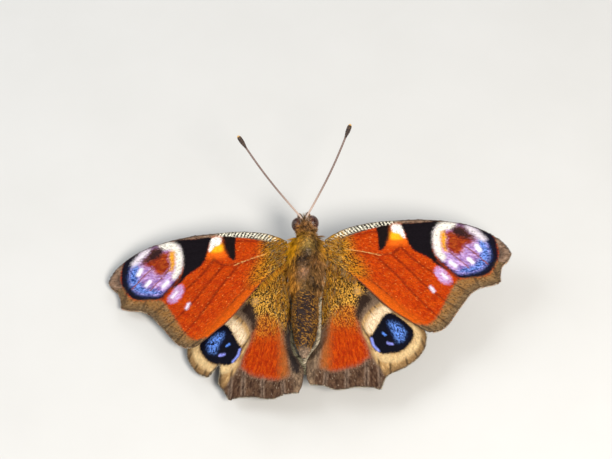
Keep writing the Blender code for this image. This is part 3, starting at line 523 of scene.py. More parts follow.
hindWing = {
    "hind": True,
    "markings": hindMarkings,
    "outline": [
        [(0.75, -0.9), (2.5, -1.8), (5.5, -1.2), (9, 1.6), (12.2, 5), (14.3, 8), (15, 9.9)],
        [(15, 9.9), (14.75, 11.9), (13.75, 13.6), (12.4, 14.85), (11.3, 15.5), (10, 16.2), (9.2, 17), (8.6, 18.7)],
        [(8.6, 18.7), (7.6, 18.4), (6.7, 18.4), (5, 18.45), (3.9, 18.75), (2.3, 18.9), (0.9, 18.4), (-0.2, 18.3),
         (-1.2, 18.25)],
        [(-1.2, 18.25), (-1.6, 17.2), (-1.7, 15.6), (-1.62, 14.4), (-0.82, 12.9), (-0.1, 11.9), (0.28, 10.4),
         (0.3, 8.6), (0.3, 5.5), (0.45, 3.6), (0.75, 1.3)],
    ],
    "tornOuter": [
        [(15, 9.9), (14.75, 11.9), (13.75, 13.6), (12.9, 14.4), (11.9, 14.85)],
        [(11.9, 14.85), (11, 13.8), (10.2, 12.9)],
        [(10.2, 12.9), (10.05, 14.6), (10.2, 16), (9.4, 17.2), (8.6, 18.7)],
    ],
    "veins": {
        "Sc": [(0.75, -0.5), (4, -0.4), (9, 3), (13, 8), (14.75, 11.9)],
        "Rs": [(0.75, 0), (3.2, 1), (7.2, 3.8), (11.2, 8.2), (13.75, 13.6)],
        "M1": [(3.2, 1), (5.6, 3.6), (8.4, 6.9), (11.4, 11.4), (12.4, 14.85)],
        "M2": [(5.6, 3.6), (7.6, 7.8), (9.7, 12), (10, 16.2)],
        "M3": [(3.6, 6), (6.3, 9.8), (8.2, 13.6), (8.6, 18.7)],
        "CuA1": [(0.75, 0.6), (2.1, 3), (3.6, 6), (5.2, 9.8), (6.5, 14), (6.7, 18.4)],
        "CuA2": [(2.1, 3), (3.2, 7.4), (3.9, 13), (3.9, 18.75)],
        "2A": [(1.5, 3.6), (2, 7.4), (1.4, 13), (0.9, 18.4)],
    },
    "fan": (0.6, -7.0),
    "middle": 0.14,
    "bakeCorner": (-3.0, -3.0),
}
wings = {"fore": foreWing, "hind": hindWing}
relief = {"ridge": 0.07, "ridgeWidth": 0.13, "hollow": 0.13, "fromVein": 1.3, "fromMargin": 0.8, "wave": 0.1,
          "wavesPerMm": 0.35}
sheet = {"spacing": 0.19, "quickSpacing": 0.3, "half": 0.045, "unwrap": 62}
leaf = {
    "spacing": 0.19, "length": 0.25, "rise": 0.035, "rowStep": 0.15, "sideStep": 0.125, "inset": 0.03,
    # along, sideways and up: the root, the shoulders and tip, and the keel
    "corners": [(-0.15, -0.04, 0.004), (-0.15, 0.04, 0.004), (0.8, 0.0625, 0.9), (1.0, 0.0, 1.0),
                (0.8, -0.0625, 0.9), (0.35, 0.0, -0.3)],
    "faces": [(0, 1, 2), (0, 2, 4), (4, 2, 3), (1, 0, 5), (2, 1, 5), (3, 2, 5), (4, 3, 5), (0, 4, 5)],
    "patch": np.array([(-1, -1), (1, -1), (1, 1), (0, 1.2), (-1, 1), (0, 0)]) * 0.0014,
}
fineUnwrap = 32  # millimetres across the bake sheet of scales and fur


def wingLoop(wing, side, step):
    runs = list(wing["outline"])
    if side == "left" and "tornOuter" in wing:
        runs[1:2] = wing["tornOuter"]
    loop = np.concatenate([catmull(run, step)[:-1] for run in runs])
    start, end = np.array(runs[-1][-1]), np.array(runs[0][0])
    count = max(1, round(np.linalg.norm(end - start) / step))
    closing = start + (end - start) * np.linspace(0, 1, count, endpoint=False)[:, None]
    return np.concatenate([loop, closing])


def wingRelief(wing, places, loop):
    # ridges along the veins, shallow hollows between them, and slight waves; also how far vein and margin are
    paths = [catmull(course, 0.5) for course in wing["veins"].values()]
    vein = np.min([pathDistance(places, path) for path in paths], axis=0)
    margin = np.maximum(-shapeDistance(places, loop), 0)
    hollow = relief["hollow"] * smooth(vein / relief["fromVein"]) * smooth(margin / relief["fromMargin"])
    waves = np.array([noise.noise(Vector((*(place * relief["wavesPerMm"]), wing["middle"]))) for place in places])
    ridge = relief["ridge"] * np.exp(-(vein / relief["ridgeWidth"]) ** 2)
    return ridge - hollow + relief["wave"] * waves, vein, margin


def markingValues(wing, side, places, vein, margin, draw):
    # what the wing's finish reads at each place: distances to its markings, veins and margin
    values = {"vein": vein, "margin": margin, "tone": draw.random(len(places))}
    for name, (_, _, _, width, course) in wing["markings"].items():
        if width is None:
            values[name] = shapeDistance(places, catmull(course, 0.25, closed=True))
        else:
            values[name] = pathDistance(places, catmull(course, 0.25)) - width
        if name in leftShadeOnly["markings"] and side == "right":
            values[name] += leftShadeOnly["awayOnRight"]
    step = 0.1
    costa = catmull(wing["outline"][0], step)
    values["costaRun"] = nearestIndex(places, costa) * step
    values["costaAway"] = pathDistance(places, costa)
    values["out"], values["back"] = places.T
    return values


def wingFinish(name, wing):
    # the painted wing: red or brown ground, markings in their order, border and veins, black-brown beneath
    finish = Finish(name, Roughness=0.62, Specular_IOR_Level=0.06)
    out, back, vein, margin, tone = [finish.attribute(key) for key in ("out", "back", "vein", "margin", "tone")]
    speckle = finish.grain(9000, 1.0)  # about a scale wide
    patches = finish.grain(0.9, 3.0, at=finish.flat(out, back))
    east, south = out - wing["fan"][0], back - wing["fan"][1]
    across, reach = east.maths("ARCTAN2", south), (east * east + south * south).maths("SQRT")
    streaks = finish.grain(1.0, 3.0, 0.6, finish.flat(across * 70.0, reach * 0.9))
    flecks = finish.grain(1.0, 2.0, 0.5, finish.flat(across * 190.0, reach * 2.2))
    wobble = (speckle - 0.5) * 1.2 + (tone - 0.5) * 0.9
    mealy = tone + speckle * 0.4
    bluish = (tone * 0.8 + speckle * 0.4).rise(0.65, 0.48)

    if wing["hind"]:
        colour = finish.blend(patches, (0.15, 0.1, 0.065), (0.2, 0.13, 0.085))
        golden = finish.blend(tone.rise(0.4, 0.7), (0.1, 0.04, 0.012), (0.6, 0.24, 0.02))
        creamy = [(streaks.rise(0.4, 0.65) * 0.7, (0.5, 0.3, 0.14))]
        layers = {
            "basal": [((tone * 0.85 + speckle * 0.4).rise(0.65, 0.73), (0.66, 0.33, 0.045))],
            "redField": [(streaks.rise(0.35, 0.7), (0.52, 0.066, 0.002)),
                         ((back + (streaks - 0.5) * 5.0).rise(10.8, 7.2) * 0.7, golden),
                         ((out + (streaks - 0.5) * 2.0).rise(2.4, 0.8) * 0.6, (0.3, 0.13, 0.03))],
            "brownBorder": [(streaks.rise(0.3, 0.7), (0.13, 0.07, 0.04)),
                            (flecks.rise(0.6, 0.72) * 0.7, (0.4, 0.29, 0.2)),
                            (vein.rise(0.5, 0.15) * streaks.rise(0.3, 0.6) * 0.55, (0.3, 0.21, 0.15)),
                            (vein.rise(0.16, 0.04) * 0.5, (0.03, 0.018, 0.014))],
            "analBrown": [(streaks.rise(0.35, 0.7), (0.3, 0.2, 0.12))],
            "buffRing": [(streaks.rise(0.4, 0.7), (0.6, 0.39, 0.17)),
                         (margin.rise(1.4, 0.3) * 0.75, (0.17, 0.095, 0.04)),
                         (vein.rise(0.19, 0.06) * 0.8, (0.07, 0.04, 0.02))],
            "creamRing": creamy, "creamOuter": creamy,
            "eyeBlue": [(bluish, (0.008, 0.012, 0.05))],
        }
    else:
        colour = finish.cover((0.37, 0.026, 0.001), (patches.rise(0.3, 0.7), (0.47, 0.044, 0.001)),
                              (streaks.rise(0.42, 0.75) * 0.7, (0.58, 0.085, 0.002)),
                              (vein.rise(0.25, 0.04) * (patches * 0.6 + 0.3), (0.15, 0.01, 0.002)),
                              (flecks.rise(0.6, 0.75) * 0.7, (0.8, 0.27, 0.06)),
                              (flecks.rise(0.42, 0.3) * 0.6, (0.2, 0.014, 0.001)))
        costaRun, costaAway = finish.attribute("costaRun"), finish.attribute("costaAway")
        bars = ((costaRun - costaAway * 0.45) * 12.0 + (patches - 0.5) * 1.2).maths("SINE")
        bars = (bars + (tone - 0.5) * 0.15).rise(-0.1, 0.15)
        rooty = [((tone * 0.7 + speckle * 0.6 + out * 0.02).rise(0.76, 0.62), (0.05, 0.018, 0.006))]
        lilac = [(streaks.rise(0.35, 0.65), (0.62, 0.42, 0.74)),
                 ((tone + speckle * 0.3).rise(1.0, 1.08) * 0.7, (0.2, 0.03, 0.04))]
        dusty = [((tone * 0.8 + speckle * 0.5).rise(0.42, 0.25) * 0.7, (0.3, 0.24, 0.22))]
        flamed = [(streaks.rise(0.4, 0.7) * 0.7, (0.46, 0.09, 0.01))]
        layers = {
            "rootGold": rooty, "rootBrown": rooty,
            "eyeLilac": lilac, "lilacPatch": lilac,
            "eyeWhite": dusty, "whitePatch": dusty, "eyeStreak": dusty,
            "eyeRed": flamed, "eyeYellow": flamed,
            "eyeBlue": [(bluish, (0.02, 0.05, 0.24))],
            "border": [(margin.rise(1.5, 0.4), (0.13, 0.078, 0.036)),
                       (streaks.rise(0.45, 0.7) * 0.6, (0.33, 0.21, 0.1)),
                       (mealy.rise(0.5, 0.25) * 0.75, (0.05, 0.03, 0.018)),
                       (vein.rise(0.18, 0.06) * margin.rise(0.1, 0.6) * 0.6, (0.04, 0.024, 0.015))],
            "costalBand": [(costaAway.rise(0.3, 0.12), (0.09, 0.06, 0.05)),
                           (streaks.rise(0.45, 0.65) * 0.6, (0.36, 0.25, 0.175)),
                           ((margin + patches * 0.8).rise(1.0, 1.7) * 0.75, (0.06, 0.04, 0.032)),
                           (mealy.rise(0.5, 0.25) * 0.8, (0.045, 0.028, 0.02)),
                           (out.rise(11.2, 10.2) * costaAway.rise(1.05, 0.8),
                            finish.blend(bars, (0.012, 0.01, 0.01), (0.85, 0.8, 0.64)))],
        }
    for key, (paint, soft, ragged, _, _) in wing["markings"].items():
        share = (finish.attribute(key) + wobble * ragged).rise(soft, -soft)
        colour = finish.blend(share, colour, finish.cover(paint, *layers.get(key, [])))
    if not wing["hind"]:
        colour = finish.blend(out.rise(5.2, 1.4) * mealy.rise(0.9, 1.0), colour, (0.7, 0.38, 0.05))
    rim = (margin + (speckle - 0.5) * 0.15).rise(0.2, 0.08)
    colour = finish.blend(rim * 0.7, colour, (0.055, 0.035, 0.025))
    # beneath, dark bark-like bands
    waves = (margin * 3.1 + (patches - 0.5) * 9.0).maths("SINE").rise(0.1, 0.9)
    dark = finish.cover((0.05, 0.034, 0.025), (waves * 0.85, (0.009, 0.007, 0.008)),
                        (streaks.rise(0.5, 0.75) * 0.45, (0.13, 0.095, 0.07)),
                        ((margin + patches).rise(2.4, 1.9) * 0.6, (0.1, 0.072, 0.052)))
    colour = finish.blend(finish.attribute("beneath").rise(0.4, 0.6), colour, dark)
    colour = finish.tint(colour, tone * 0.5 + speckle * 0.4 + 0.55)
    return finish.finishWith(colour, speckle * 0.25 + 0.5, speckle * 0.6 + streaks * 0.3, 0.00003, 0.35)


def sheetPlan(loop, spacing):
    # triangles of a flat sheet: its outline and a staggered filling
    low, high = loop.min(0), loop.max(0)
    filling = []
    for index, back in enumerate(np.arange(low[1], high[1], spacing * 0.87)):
        line = np.arange(low[0] + spacing * (0.5 if index % 2 else 0), high[0], spacing)
        filling.append(np.stack([line, np.full(len(line), back)], 1))
    filling = np.concatenate(filling)
    filling = filling[shapeDistance(filling, loop) < -0.55 * spacing]
    points = [Vector(place) for place in np.concatenate([loop, filling])]
    flat, _, faces, _, _, _ = delaunay_2d_cdt(points, [], [list(range(len(loop)))], 1, 0.001)
    return np.array([tuple(place) for place in flat]), np.array(faces)


def wingSheet(name, wing, side, finish, draw):
    spacing = sheet["spacing"]
    loop = wingLoop(wing, side, spacing)
    places, faces = sheetPlan(loop, spacing)
    count = len(places)
    lift, vein, margin = wingRelief(wing, places, loop)
    values = markingValues(wing, side, places, vein, margin, draw)
    values = {key: np.tile(numbers, 2) for key, numbers in values.items()}
    values["beneath"] = np.repeat([0.0, 1.0], count)
    upper, lower = [wingPlace(wing, side, places, wing["middle"] + half + lift)
                    for half in (sheet["half"], -sheet["half"])]
    # the outline's edges belong to one triangle only
    ways = np.concatenate([faces[:, [0, 1]], faces[:, [1, 2]], faces[:, [2, 0]]]).tolist()
    known = {tuple(way) for way in ways}
    rims = [way for way in ways if (way[1], way[0]) not in known]
    walls = [(b, a, a + count) for a, b in rims] + [(b, a + count, b + count) for a, b in rims]
    faces = np.concatenate([faces, faces[:, ::-1] + count, np.array(walls)])
    # outward and backward run clockwise seen from above on the right side
    a, b, c = places[faces[0]]
    isCounter = (b[0] - a[0]) * (c[1] - a[1]) - (b[1] - a[1]) * (c[0] - a[0]) > 0
    if isCounter == (side == "right"):
        faces = faces[:, ::-1]
    unwrap = (places - wing["bakeCorner"]) / sheet["unwrap"]
    bakePlaces = np.concatenate([unwrap, unwrap + (0.0, 0.5)])
    return makeMesh(name, np.concatenate([upper, lower]), faces, finish, values, None, bakePlaces)


def wingScales(name, wing, side, finish, draw):
    # rows of overlapping scales on the upper side, each one a thin closed leaf with one colour
    widen = 1.0
    loop = wingLoop(wing, side, leaf["spacing"])
    fan = np.array(wing["fan"])
    reach = np.linalg.norm(loop - fan, axis=1)
    roots = []
    for index, radius in enumerate(np.arange(reach.min(), reach.max(), leaf["rowStep"] * widen)):
        step = leaf["sideStep"] * widen / radius
        angles = np.arange(-1.2, math.pi, step) + (step / 2 if index % 2 else 0)
        roots.append(fan + radius * np.stack([np.cos(angles), np.sin(angles)], 1))
    roots = np.concatenate(roots)
    roots = roots[shapeDistance(roots, loop) < -leaf["inset"]]
    roots += draw.normal(0, 0.018, roots.shape)
    count = len(roots)
    along = spun(unit(roots - fan), draw.normal(0, 0.1, count))
    across = np.stack([-along[:, 1], along[:, 0]], 1)
    lift, vein, margin = wingRelief(wing, roots, loop)
    size = (draw.uniform(0.85, 1.15, count) * widen)[:, None]
    rise = leaf["rise"] * draw.uniform(0.6, 1.5, count)
    base = wing["middle"] + sheet["half"] + lift
    corners = []
    for ahead, aside, up in leaf["corners"]:
        spots = roots + along * ahead * leaf["length"] * size + across * aside * size
        corners.append(wingPlace(wing, side, spots, base + rise * up))
    values = markingValues(wing, side, roots, vein, margin, draw)
    values = {key: numbers[:, None] for key, numbers in values.items()}
    values["beneath"] = 0.0
    faces = np.array(leaf["faces"])[:, ::sides[side]["mirror"]]
    centres = (roots - wing["bakeCorner"]) / fineUnwrap
    return manySolids(name, corners, faces, finish, values, leaf["patch"], centres, flat=True)


wingFinishes = {kind: wingFinish(kind + "wingScales", wing) for kind, wing in wings.items()}
for side in sides:
    for kind, wing in wings.items():
        draw = np.random.default_rng(11 + len(side) + wing["hind"])
        plain = wingSheet(kind + "wingSheet_" + side, wing, side, wingFinishes[kind], draw)
        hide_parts(kind + "wing_" + side)
        scales = wingScales(kind + "wingScales_" + side, wing, side, wingFinishes[kind], draw)
        settle("wing", plain, scales)
        print("wing", kind, side, len(plain.data.polygons), len(scales.data.polygons))

# the body: one skin from head to tail, drawn level and then turned into place

skin = {
    # place along the body, half width, top and bottom
    "stations": [
        (8.12, 0.12, 1.0, 0.75), (7.98, 0.6, 1.35, 0.3), (7.6, 0.98, 1.75, -0.1), (7.0, 1.18, 1.92, -0.38),
        (6.35, 1.2, 1.84, -0.5), (5.8, 1.02, 1.55, -0.5), (5.35, 0.95, 1.35, -0.6), (4.9, 1.4, 1.65, -1.15),
        (4.2, 1.85, 2.02, -1.8), (3.0, 2.15, 2.3, -2.3), (1.5, 2.25, 2.42, -2.5), (0.0, 2.24, 2.42, -2.55),
        (-1.5, 2.08, 2.22, -2.4), (-2.6, 1.85, 1.9, -2.1), (-3.5, 1.52, 1.5, -1.75), (-4.4, 1.72, 1.6, -1.92),
        (-6.0, 1.85, 1.56, -2.06), (-8.0, 1.8, 1.34, -2.02), (-9.8, 1.57, 1.08, -1.78), (-11.3, 1.17, 0.78, -1.33),
        (-12.5, 0.78, 0.53, -0.88), (-13.2, 0.48, 0.33, -0.5), (-13.55, 0.2, 0.12, -0.22)],
    "square": 2.2, "segments": 8, "segmentFront": -3.8, "segmentRear": -13.3, "groove": 0.045, "grooveWidth": 0.09,
    "around": 48, "shade": 0.55,
}
# coat colours: place along the body, angle from the top towards the right, spreads, colour and strength
coatZones = [
    (3.6, 0, 1.6, 70, (0.34, 0.19, 0.04), 0.8),
    (3.4, -54, 1.9, 30, (1.1, 0.52, 0.012), 1.5),
    (4.6, -20, 0.7, 22, (0.62, 0.32, 0.03), 0.8),
    (3.2, 68, 1.4, 15, (0.66, 0.3, 0.02), 1.0),
    (3.5, 42, 0.9, 13, (0.012, 0.009, 0.008), 0.95),
    (3.4, 8, 0.9, 18, (0.5, 0.34, 0.1), 0.9),
    # painted highlight: a small pale spot on the top of the thorax
    (2.1, 12, 0.35, 12, (0.5, 0.42, 0.3), 0.6),
    (0.9, -10, 1.3, 28, (0.05, 0.03, 0.022), 1.0),
    (0.9, 40, 1.2, 24, (0.2, 0.085, 0.025), 0.9),
    (-1.2, -6, 0.85, 19, (0.46, 0.25, 0.14), 0.95),
    (-1.6, -62, 2.6, 28, (0.62, 0.26, 0.03), 1.0),
    (-0.5, 75, 2.0, 22, (0.36, 0.18, 0.07), 0.8),
    (-2.5, 46, 0.8, 20, (0.016, 0.013, 0.014), 0.9),
    (-3.2, 0, 0.8, 30, (0.2, 0.11, 0.035), 0.8),
    (6.6, 0, 0.9, 80, (0.4, 0.18, 0.05), 1.0),
    (6.3, 4, 0.4, 26, (0.03, 0.018, 0.014), 0.8),
    (7.5, 22, 0.35, 12, (0.8, 0.66, 0.5), 0.8),
    (7.4, -28, 0.4, 12, (0.76, 0.6, 0.42), 0.8),
    (6.8, 60, 0.4, 16, (0.62, 0.5, 0.38), 0.7),
    (5.6, 0, 0.35, 70, (0.2, 0.1, 0.035), 0.7),
]
coatGround = {"thorax": (0.24, 0.12, 0.035), "gold": (0.7, 0.31, 0.03), "dark": (0.04, 0.019, 0.013),
              "flank": (0.3, 0.14, 0.035), "tail": (0.37, 0.25, 0.165), "under": (0.12, 0.085, 0.06)}
skinCurve = catmull(skin["stations"], 0.12)
risingCurve = skinCurve[::-1].T


def bodySurface(along, angle):
    # a point of the level skin; the angle runs from the top towards the right side
    half, top, bottom = [np.interp(along, risingCurve[0], row) for row in risingCurve[1:]]
    span = (skin["segmentFront"] - along) / (skin["segmentFront"] - skin["segmentRear"]) * skin["segments"]
    share = span - np.floor(span)
    seam = np.exp(-(np.minimum(share, 1 - share) / skin["grooveWidth"]) ** 2)
    shrink = 1 - skin["groove"] * seam * (span > 0.2) * (span < skin["segments"])
    power = 2 / skin["square"]
    across, upward = [np.sign(part) * np.abs(part) ** power for part in (np.sin(angle), np.cos(angle))]
    height = (top + bottom) / 2 + (top - bottom) / 2 * shrink * upward
    return np.stack([half * shrink * across, along, height], 1)


def bodyDirections(along, angle):
    # outward, backward and sideways directions at places of the skin
    tiny = 0.03
    back = bodySurface(along - tiny, angle) - bodySurface(along + tiny, angle)
    aside = bodySurface(along, angle + tiny) - bodySurface(along, angle - tiny)
    return unit(np.cross(back, aside)), unit(back), unit(aside)


def mixed(colour, paint, share):
    return colour * (1 - share[:, None]) + np.array(paint) * share[:, None]


def capped(colours, most=0.8):
    return colours / np.maximum(colours.max(1), most)[:, None] * most


def coatColours(along, angle, draw):
    degrees = np.degrees(angle)
    around = np.abs(degrees)
    isGold = (draw.random(len(along)) < 0.13 + 0.12 * (around > 35))[:, None]
    belly = np.where(isGold, coatGround["gold"], coatGround["dark"])
    belly = mixed(belly, coatGround["flank"], 0.6 * smooth((around - 45) / 40) * smooth((along + 9.5) / 3))
    belly = mixed(belly, coatGround["tail"], smooth((-11.6 - along) / 1.2))
    colour = mixed(np.array([coatGround["thorax"]]), belly, smooth((-3.3 - along) / 0.7))
    stray = draw.normal(0, 0.22, len(along))
    for place, turn, reach, width, paint, strength in coatZones:
        near = np.exp(-((along + stray - place) / reach) ** 2 - ((degrees + stray * 25 - turn) / width) ** 2)
        colour = mixed(colour, paint, np.minimum(strength * near, 1))
    colour = mixed(colour, coatGround["under"], smooth((around - 95) / 40))
    return capped(colour * draw.lognormal(0, 0.45, len(along))[:, None])


def coatFinish(name):
    # hair that is darker at its root and paler at its tip
    finish = Finish(name, Specular_IOR_Level=0.1)
    tip, tone = finish.attribute("tip"), finish.attribute("tone")
    grain = finish.grain(6000) - 0.5
    colour = finish.tint(finish.attribute("coat", "Color"), tip * 0.85 + tone * 0.2 + grain * 0.4 + 0.32)
    return finish.finishWith(colour, grain * 0.1 - tip * 0.15 + 0.75)


hair = {
    "faces": [(0, 2, 1), (0, 1, 4), (0, 4, 3), (3, 4, 6), (1, 2, 5), (1, 5, 4), (4, 5, 6), (2, 0, 3), (2, 3, 5),
              (5, 3, 6)],
    "tip": [0, 0, 0, 0.5, 0.5, 0.5, 1.0],
    "patch": np.array([(-1, -1), (1, -1), (0, -0.6), (-1, 0.4), (1, 0.4), (0, 0.6), (0, 1)]) * 0.0015,
    "turns": (0.5, 2.6, 4.7), "sink": 0.06, "stray": 0.08,
}


def hairs(name, roots, outward, lie, lengths, thick, lift, bend, colours, bakeRoots, finish, draw, pull=0.0):
    # closed three-sided hairs that leave the skin along the lie, are pulled into tufts and bend back to the skin
    count = len(roots)
    lift = np.broadcast_to(lift, count)[:, None]
    lengths = lengths[:, None]
    way = unit(lie * (1 - lift) + outward * lift + draw.normal(0, hair["stray"], (count, 3)) + pull)
    aside = unit(np.cross(way, outward))
    upward = np.cross(way, aside)
    start = roots - outward * hair["sink"]
    sway = draw.normal(0, hair["stray"], (count, 1))
    end = start + way * lengths - outward * lengths * bend + aside * lengths * sway
    corners = [centre + (aside * math.cos(turn) + upward * math.sin(turn)) * size
               for centre, size in ((start, thick), (start + way * lengths * 0.5, thick * 0.75))
               for turn in hair["turns"]]
    values = {"tip": hair["tip"], "tone": draw.random(count)[:, None]}
    return manySolids(name, [*corners, end], hair["faces"], finish, values, hair["patch"], bakeRoots, colours)


def makeSkin():
    rings, around = len(skinCurve), skin["around"]
    along = np.repeat(skinCurve[:, 0], around)
    angle = np.tile(np.arange(around) / around * math.tau - math.pi, rings)
    colours = coatColours(along, angle, np.random.default_rng(3)) * skin["shade"]
    finish = Finish("bodySkin", Specular_IOR_Level=0.3)
    grain = finish.grain(4500, 3.0)
    colour = finish.tint(finish.attribute("coat", "Color"), grain * 1.1 + 0.4)
    material = finish.finishWith(colour, grain * 0.2 + 0.65, grain, 0.00004, 0.5)
    points = bodyPoints(bodySurface(along, angle))
    piece = makeMesh("bodySkin", points, ringFaces(rings, around, True), material, None, colours)
    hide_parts("thorax", "head", "abdomen")
    settle("coat", piece)


coats = {
    "headCoat": {"count": 3600, "from": 8.0, "to": 5.0, "length": (0.45, 0.95), "thick": 0.024, "lift": 0.62,
                 "bend": 0.1, "slot": "coat", "seed": 21, "tufts": 110, "pull": 0.45},
    "thoraxCoat": {"count": 13000, "from": 5.3, "to": -3.4, "length": (0.9, 1.9), "thick": 0.036, "lift": 0.26,
                   "bend": 0.1, "slot": "coat", "seed": 22, "tufts": 700, "pull": 0.6},
    "abdomenCoat": {"count": 18000, "from": -3.1, "to": -13.4, "length": (0.25, 0.46), "thick": 0.03, "lift": 0.17,
                    "bend": 0.05, "slot": "abdomen_coat", "seed": 23, "tufts": 1800, "pull": 0.3},
}


def gatherTufts(roots, lengths, tufts, pull, draw):
    # how hairs lean towards the middle of their tuft, and how light each tuft is
    middles = roots[draw.choice(len(roots), tufts, replace=False)]
    nearest = nearestIndex(roots, middles)
    lean = (middles[nearest] - roots) / lengths[:, None] * pull
    return lean + draw.normal(0, 0.17, (tufts, 3))[nearest], draw.lognormal(0, 0.4, tufts)[nearest]


def makeCoat(name, coat, finish):
    draw = np.random.default_rng(coat["seed"])
    count = coat["count"] // 1
    # more tries than hairs, kept in proportion to the girth
    along = draw.uniform(coat["to"], coat["from"], count * 3)
    girth = np.interp(along, risingCurve[0], risingCurve[1])
    along = along[draw.random(len(along)) < girth / 2.3][:count]
    angle = draw.uniform(-math.pi, math.pi, len(along))
    outward, back, aside = bodyDirections(along, angle)
    lengths = draw.uniform(*coat["length"], len(along))
    lift, lie = coat["lift"], back
    if name == "thoraxCoat":
        degrees = np.degrees(angle)
        flank = smooth((np.abs(degrees) - 35) / 40)
        lengths *= 0.62 + 0.5 * flank
        lengths *= 1 - 0.45 * np.exp(-(degrees / 24) ** 2) * smooth((1.6 - along) / 1.0)
        lift = lift + 0.12 * flank * smooth((along - 1.5) / 2)
        lie = lie + aside * (0.4 * np.sign(angle) * flank)[:, None]
    if name == "headCoat":
        lie = lie + outward * 0.3 + aside * draw.normal(0, 0.35, (len(along), 1))
        front = smooth((along - 7.2) / 0.7)[:, None]
        lie = lie * (1 - front) - back * front * 0.7
    roots = bodyPoints(bodySurface(along, angle))
    pull, tuftTone = gatherTufts(roots, lengths, coat["tufts"], coat["pull"], draw)
    colours = capped(coatColours(along, angle, draw) * tuftTone[:, None])
    unwrap = 0.02 + 0.96 * np.stack([angle / math.tau + 0.5, (along + 13.7) / 22.0], 1)
    piece = hairs(name, roots, bodyVectors(outward, along), bodyVectors(unit(lie), along), lengths, coat["thick"],
                  lift, coat["bend"], colours, unwrap, finish, draw, pull)
    settle(coat["slot"], piece)
    print(name, len(piece.data.polygons))


def makeCoats():
    finish = coatFinish("bodyHair")
    for name, coat in coats.items():
        makeCoat(name, coat, finish)


# tubes for the feelers, palps, tongue and legs


def aslant(way):
    # some direction across each way
    return np.cross(way, (0.3, 0.2, 1.0))


def tubeMesh(name, points, radii, finish, values=None, around=12):
    # a closed tapered tube along points
    points = np.asarray(points, float)
    ways = unit(np.gradient(points, axis=0))
    side = aslant(ways[0])
    turns = (np.arange(around) / around * math.tau)[:, None]
    rings = []
    for point, way, radius in zip(points, ways, radii):
        side = side - way * (side @ way)
        side /= np.linalg.norm(side)
        rings.append(point + radius * (np.cos(turns) * side + np.sin(turns) * np.cross(way, side)))
    values = {key: np.repeat(numbers, around) for key, numbers in (values or {}).items()}
    return makeMesh(name, np.concatenate(rings), ringFaces(len(points), around), finish, values)


def fuzzAlong(name, points, radii, fuzz, finish, draw):
    # hairs round a tube, pointing along it
    points, count = np.asarray(points, float), fuzz["count"]
    place = draw.uniform(0, len(points) - 1.001, count)
    index = place.astype(int)
    part = (place - index)[:, None]
    centre = points[index] * (1 - part) + points[index + 1] * part
    way = unit(points[index + 1] - points[index])
    turn = draw.uniform(0, math.tau, count)
    side = unit(aslant(way))
    outward = side * np.cos(turn)[:, None] + np.cross(way, side) * np.sin(turn)[:, None]
    radius = np.interp(place, np.arange(len(radii)), radii)[:, None]
    colours = np.array(fuzz["colours"])[draw.integers(0, len(fuzz["colours"]), count)]
    bakeRoots = 0.05 + 0.9 * np.stack([turn / math.tau, place / len(points)], 1)
    return hairs(name, centre + outward * radius, outward, way, draw.uniform(*fuzz["length"], count), 0.016,
                 fuzz["lift"], 0.05, colours, bakeRoots, finish, draw)


def hornFinish(name, dark, pale):
    finish = Finish(name, Specular_IOR_Level=0.4)
    grain = finish.grain(5000, 3.0)
    colour = finish.blend(grain.rise(0.35, 0.68), dark, pale)
    return finish.finishWith(colour, grain * 0.25 + 0.38, grain, 0.00003, 0.4)


antenna = {
    "root": (0.45, 7.75, 2.0), "sink": 0.75, "drop": (0, 0, 0.3),
    "reach": {"left": (-9.1, 11.8, 4.0), "right": (6.3, 13.3, 4.6)},
    "bow": 0.35, "thick": 0.3, "clubThick": 0.68, "clubLength": 2.4, "rings": 40,
    "tipStart": 0.96, "tipLength": 0.0385, "tipRadius": 0.03,
}


def antennaFinish():
    # ringed shaft, paler near the head, with a dark club and a yellow tip
    finish = Finish("antenna", Specular_IOR_Level=0.35)
    share, ring = finish.attribute("share"), finish.attribute("ring")
    grain = finish.grain(7000)
    club = finish.blend(grain.rise(0.45, 0.7) * 0.5, (0.022, 0.015, 0.014), (0.3, 0.17, 0.09))
    colour = finish.cover((0.5, 0.36, 0.29), (share.rise(0.0, 0.45), (0.2, 0.135, 0.115)),
                          (ring.rise(0.75, 0.95) * 0.7, (0.62, 0.54, 0.46)), (share.rise(0.83, 0.86), club),
                          (share.rise(0.975, 0.985), (0.75, 0.43, 0.12)))
    return finish.finishWith(finish.tint(colour, grain * 0.6 + 0.7), grain * 0.2 + 0.5, grain, 0.00002, 0.3)


def makeAntennae():
    finish = antennaFinish()
    for side, pose in sides.items():
        root = bodyPoints(mirrored([antenna["root"]], side))[0]
        reach = np.array(antenna["reach"][side])
        length = np.linalg.norm(reach)
        bow = np.array((-reach[1], reach[0], 0.0)) * pose["mirror"]
        bow *= antenna["bow"] / np.linalg.norm(bow)
        # spot, radius, share of the length, and whether a ring starts here
        rows = [(root - reach / length * antenna["sink"] - antenna["drop"], 0.17, 0.0, 0.0)]
        for k in range(antenna["rings"]):
            for step, swell in ((0.0, 0.86), (0.2, 1.0), (0.8, 1.0)):
                share = (k + step) / antenna["rings"]
                inClub = max(0.0, 1 - (1 - share) * length / antenna["clubLength"])
                thick = antenna["thick"] + (antenna["clubThick"] - antenna["thick"]) * smooth(inClub * 1.8)
                pastStart = max(0.0, share - antenna["tipStart"]) / antenna["tipLength"]
                radius = thick / 2 * math.sqrt(max(0.0, 1 - pastStart ** 2)) * swell
                spot = root + reach * share - bow * math.sin(math.pi * share)
                rows.append((spot, radius, share, float(step == 0)))
        spots, radii, shares, marks = zip(*rows, (root + reach, antenna["tipRadius"], 1.0, 0.0))
        piece = tubeMesh("antenna_" + side + "_ringed", spots, radii, finish, {"share": shares, "ring": marks})
        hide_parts("antenna_" + side)
        settle("antenna", piece)


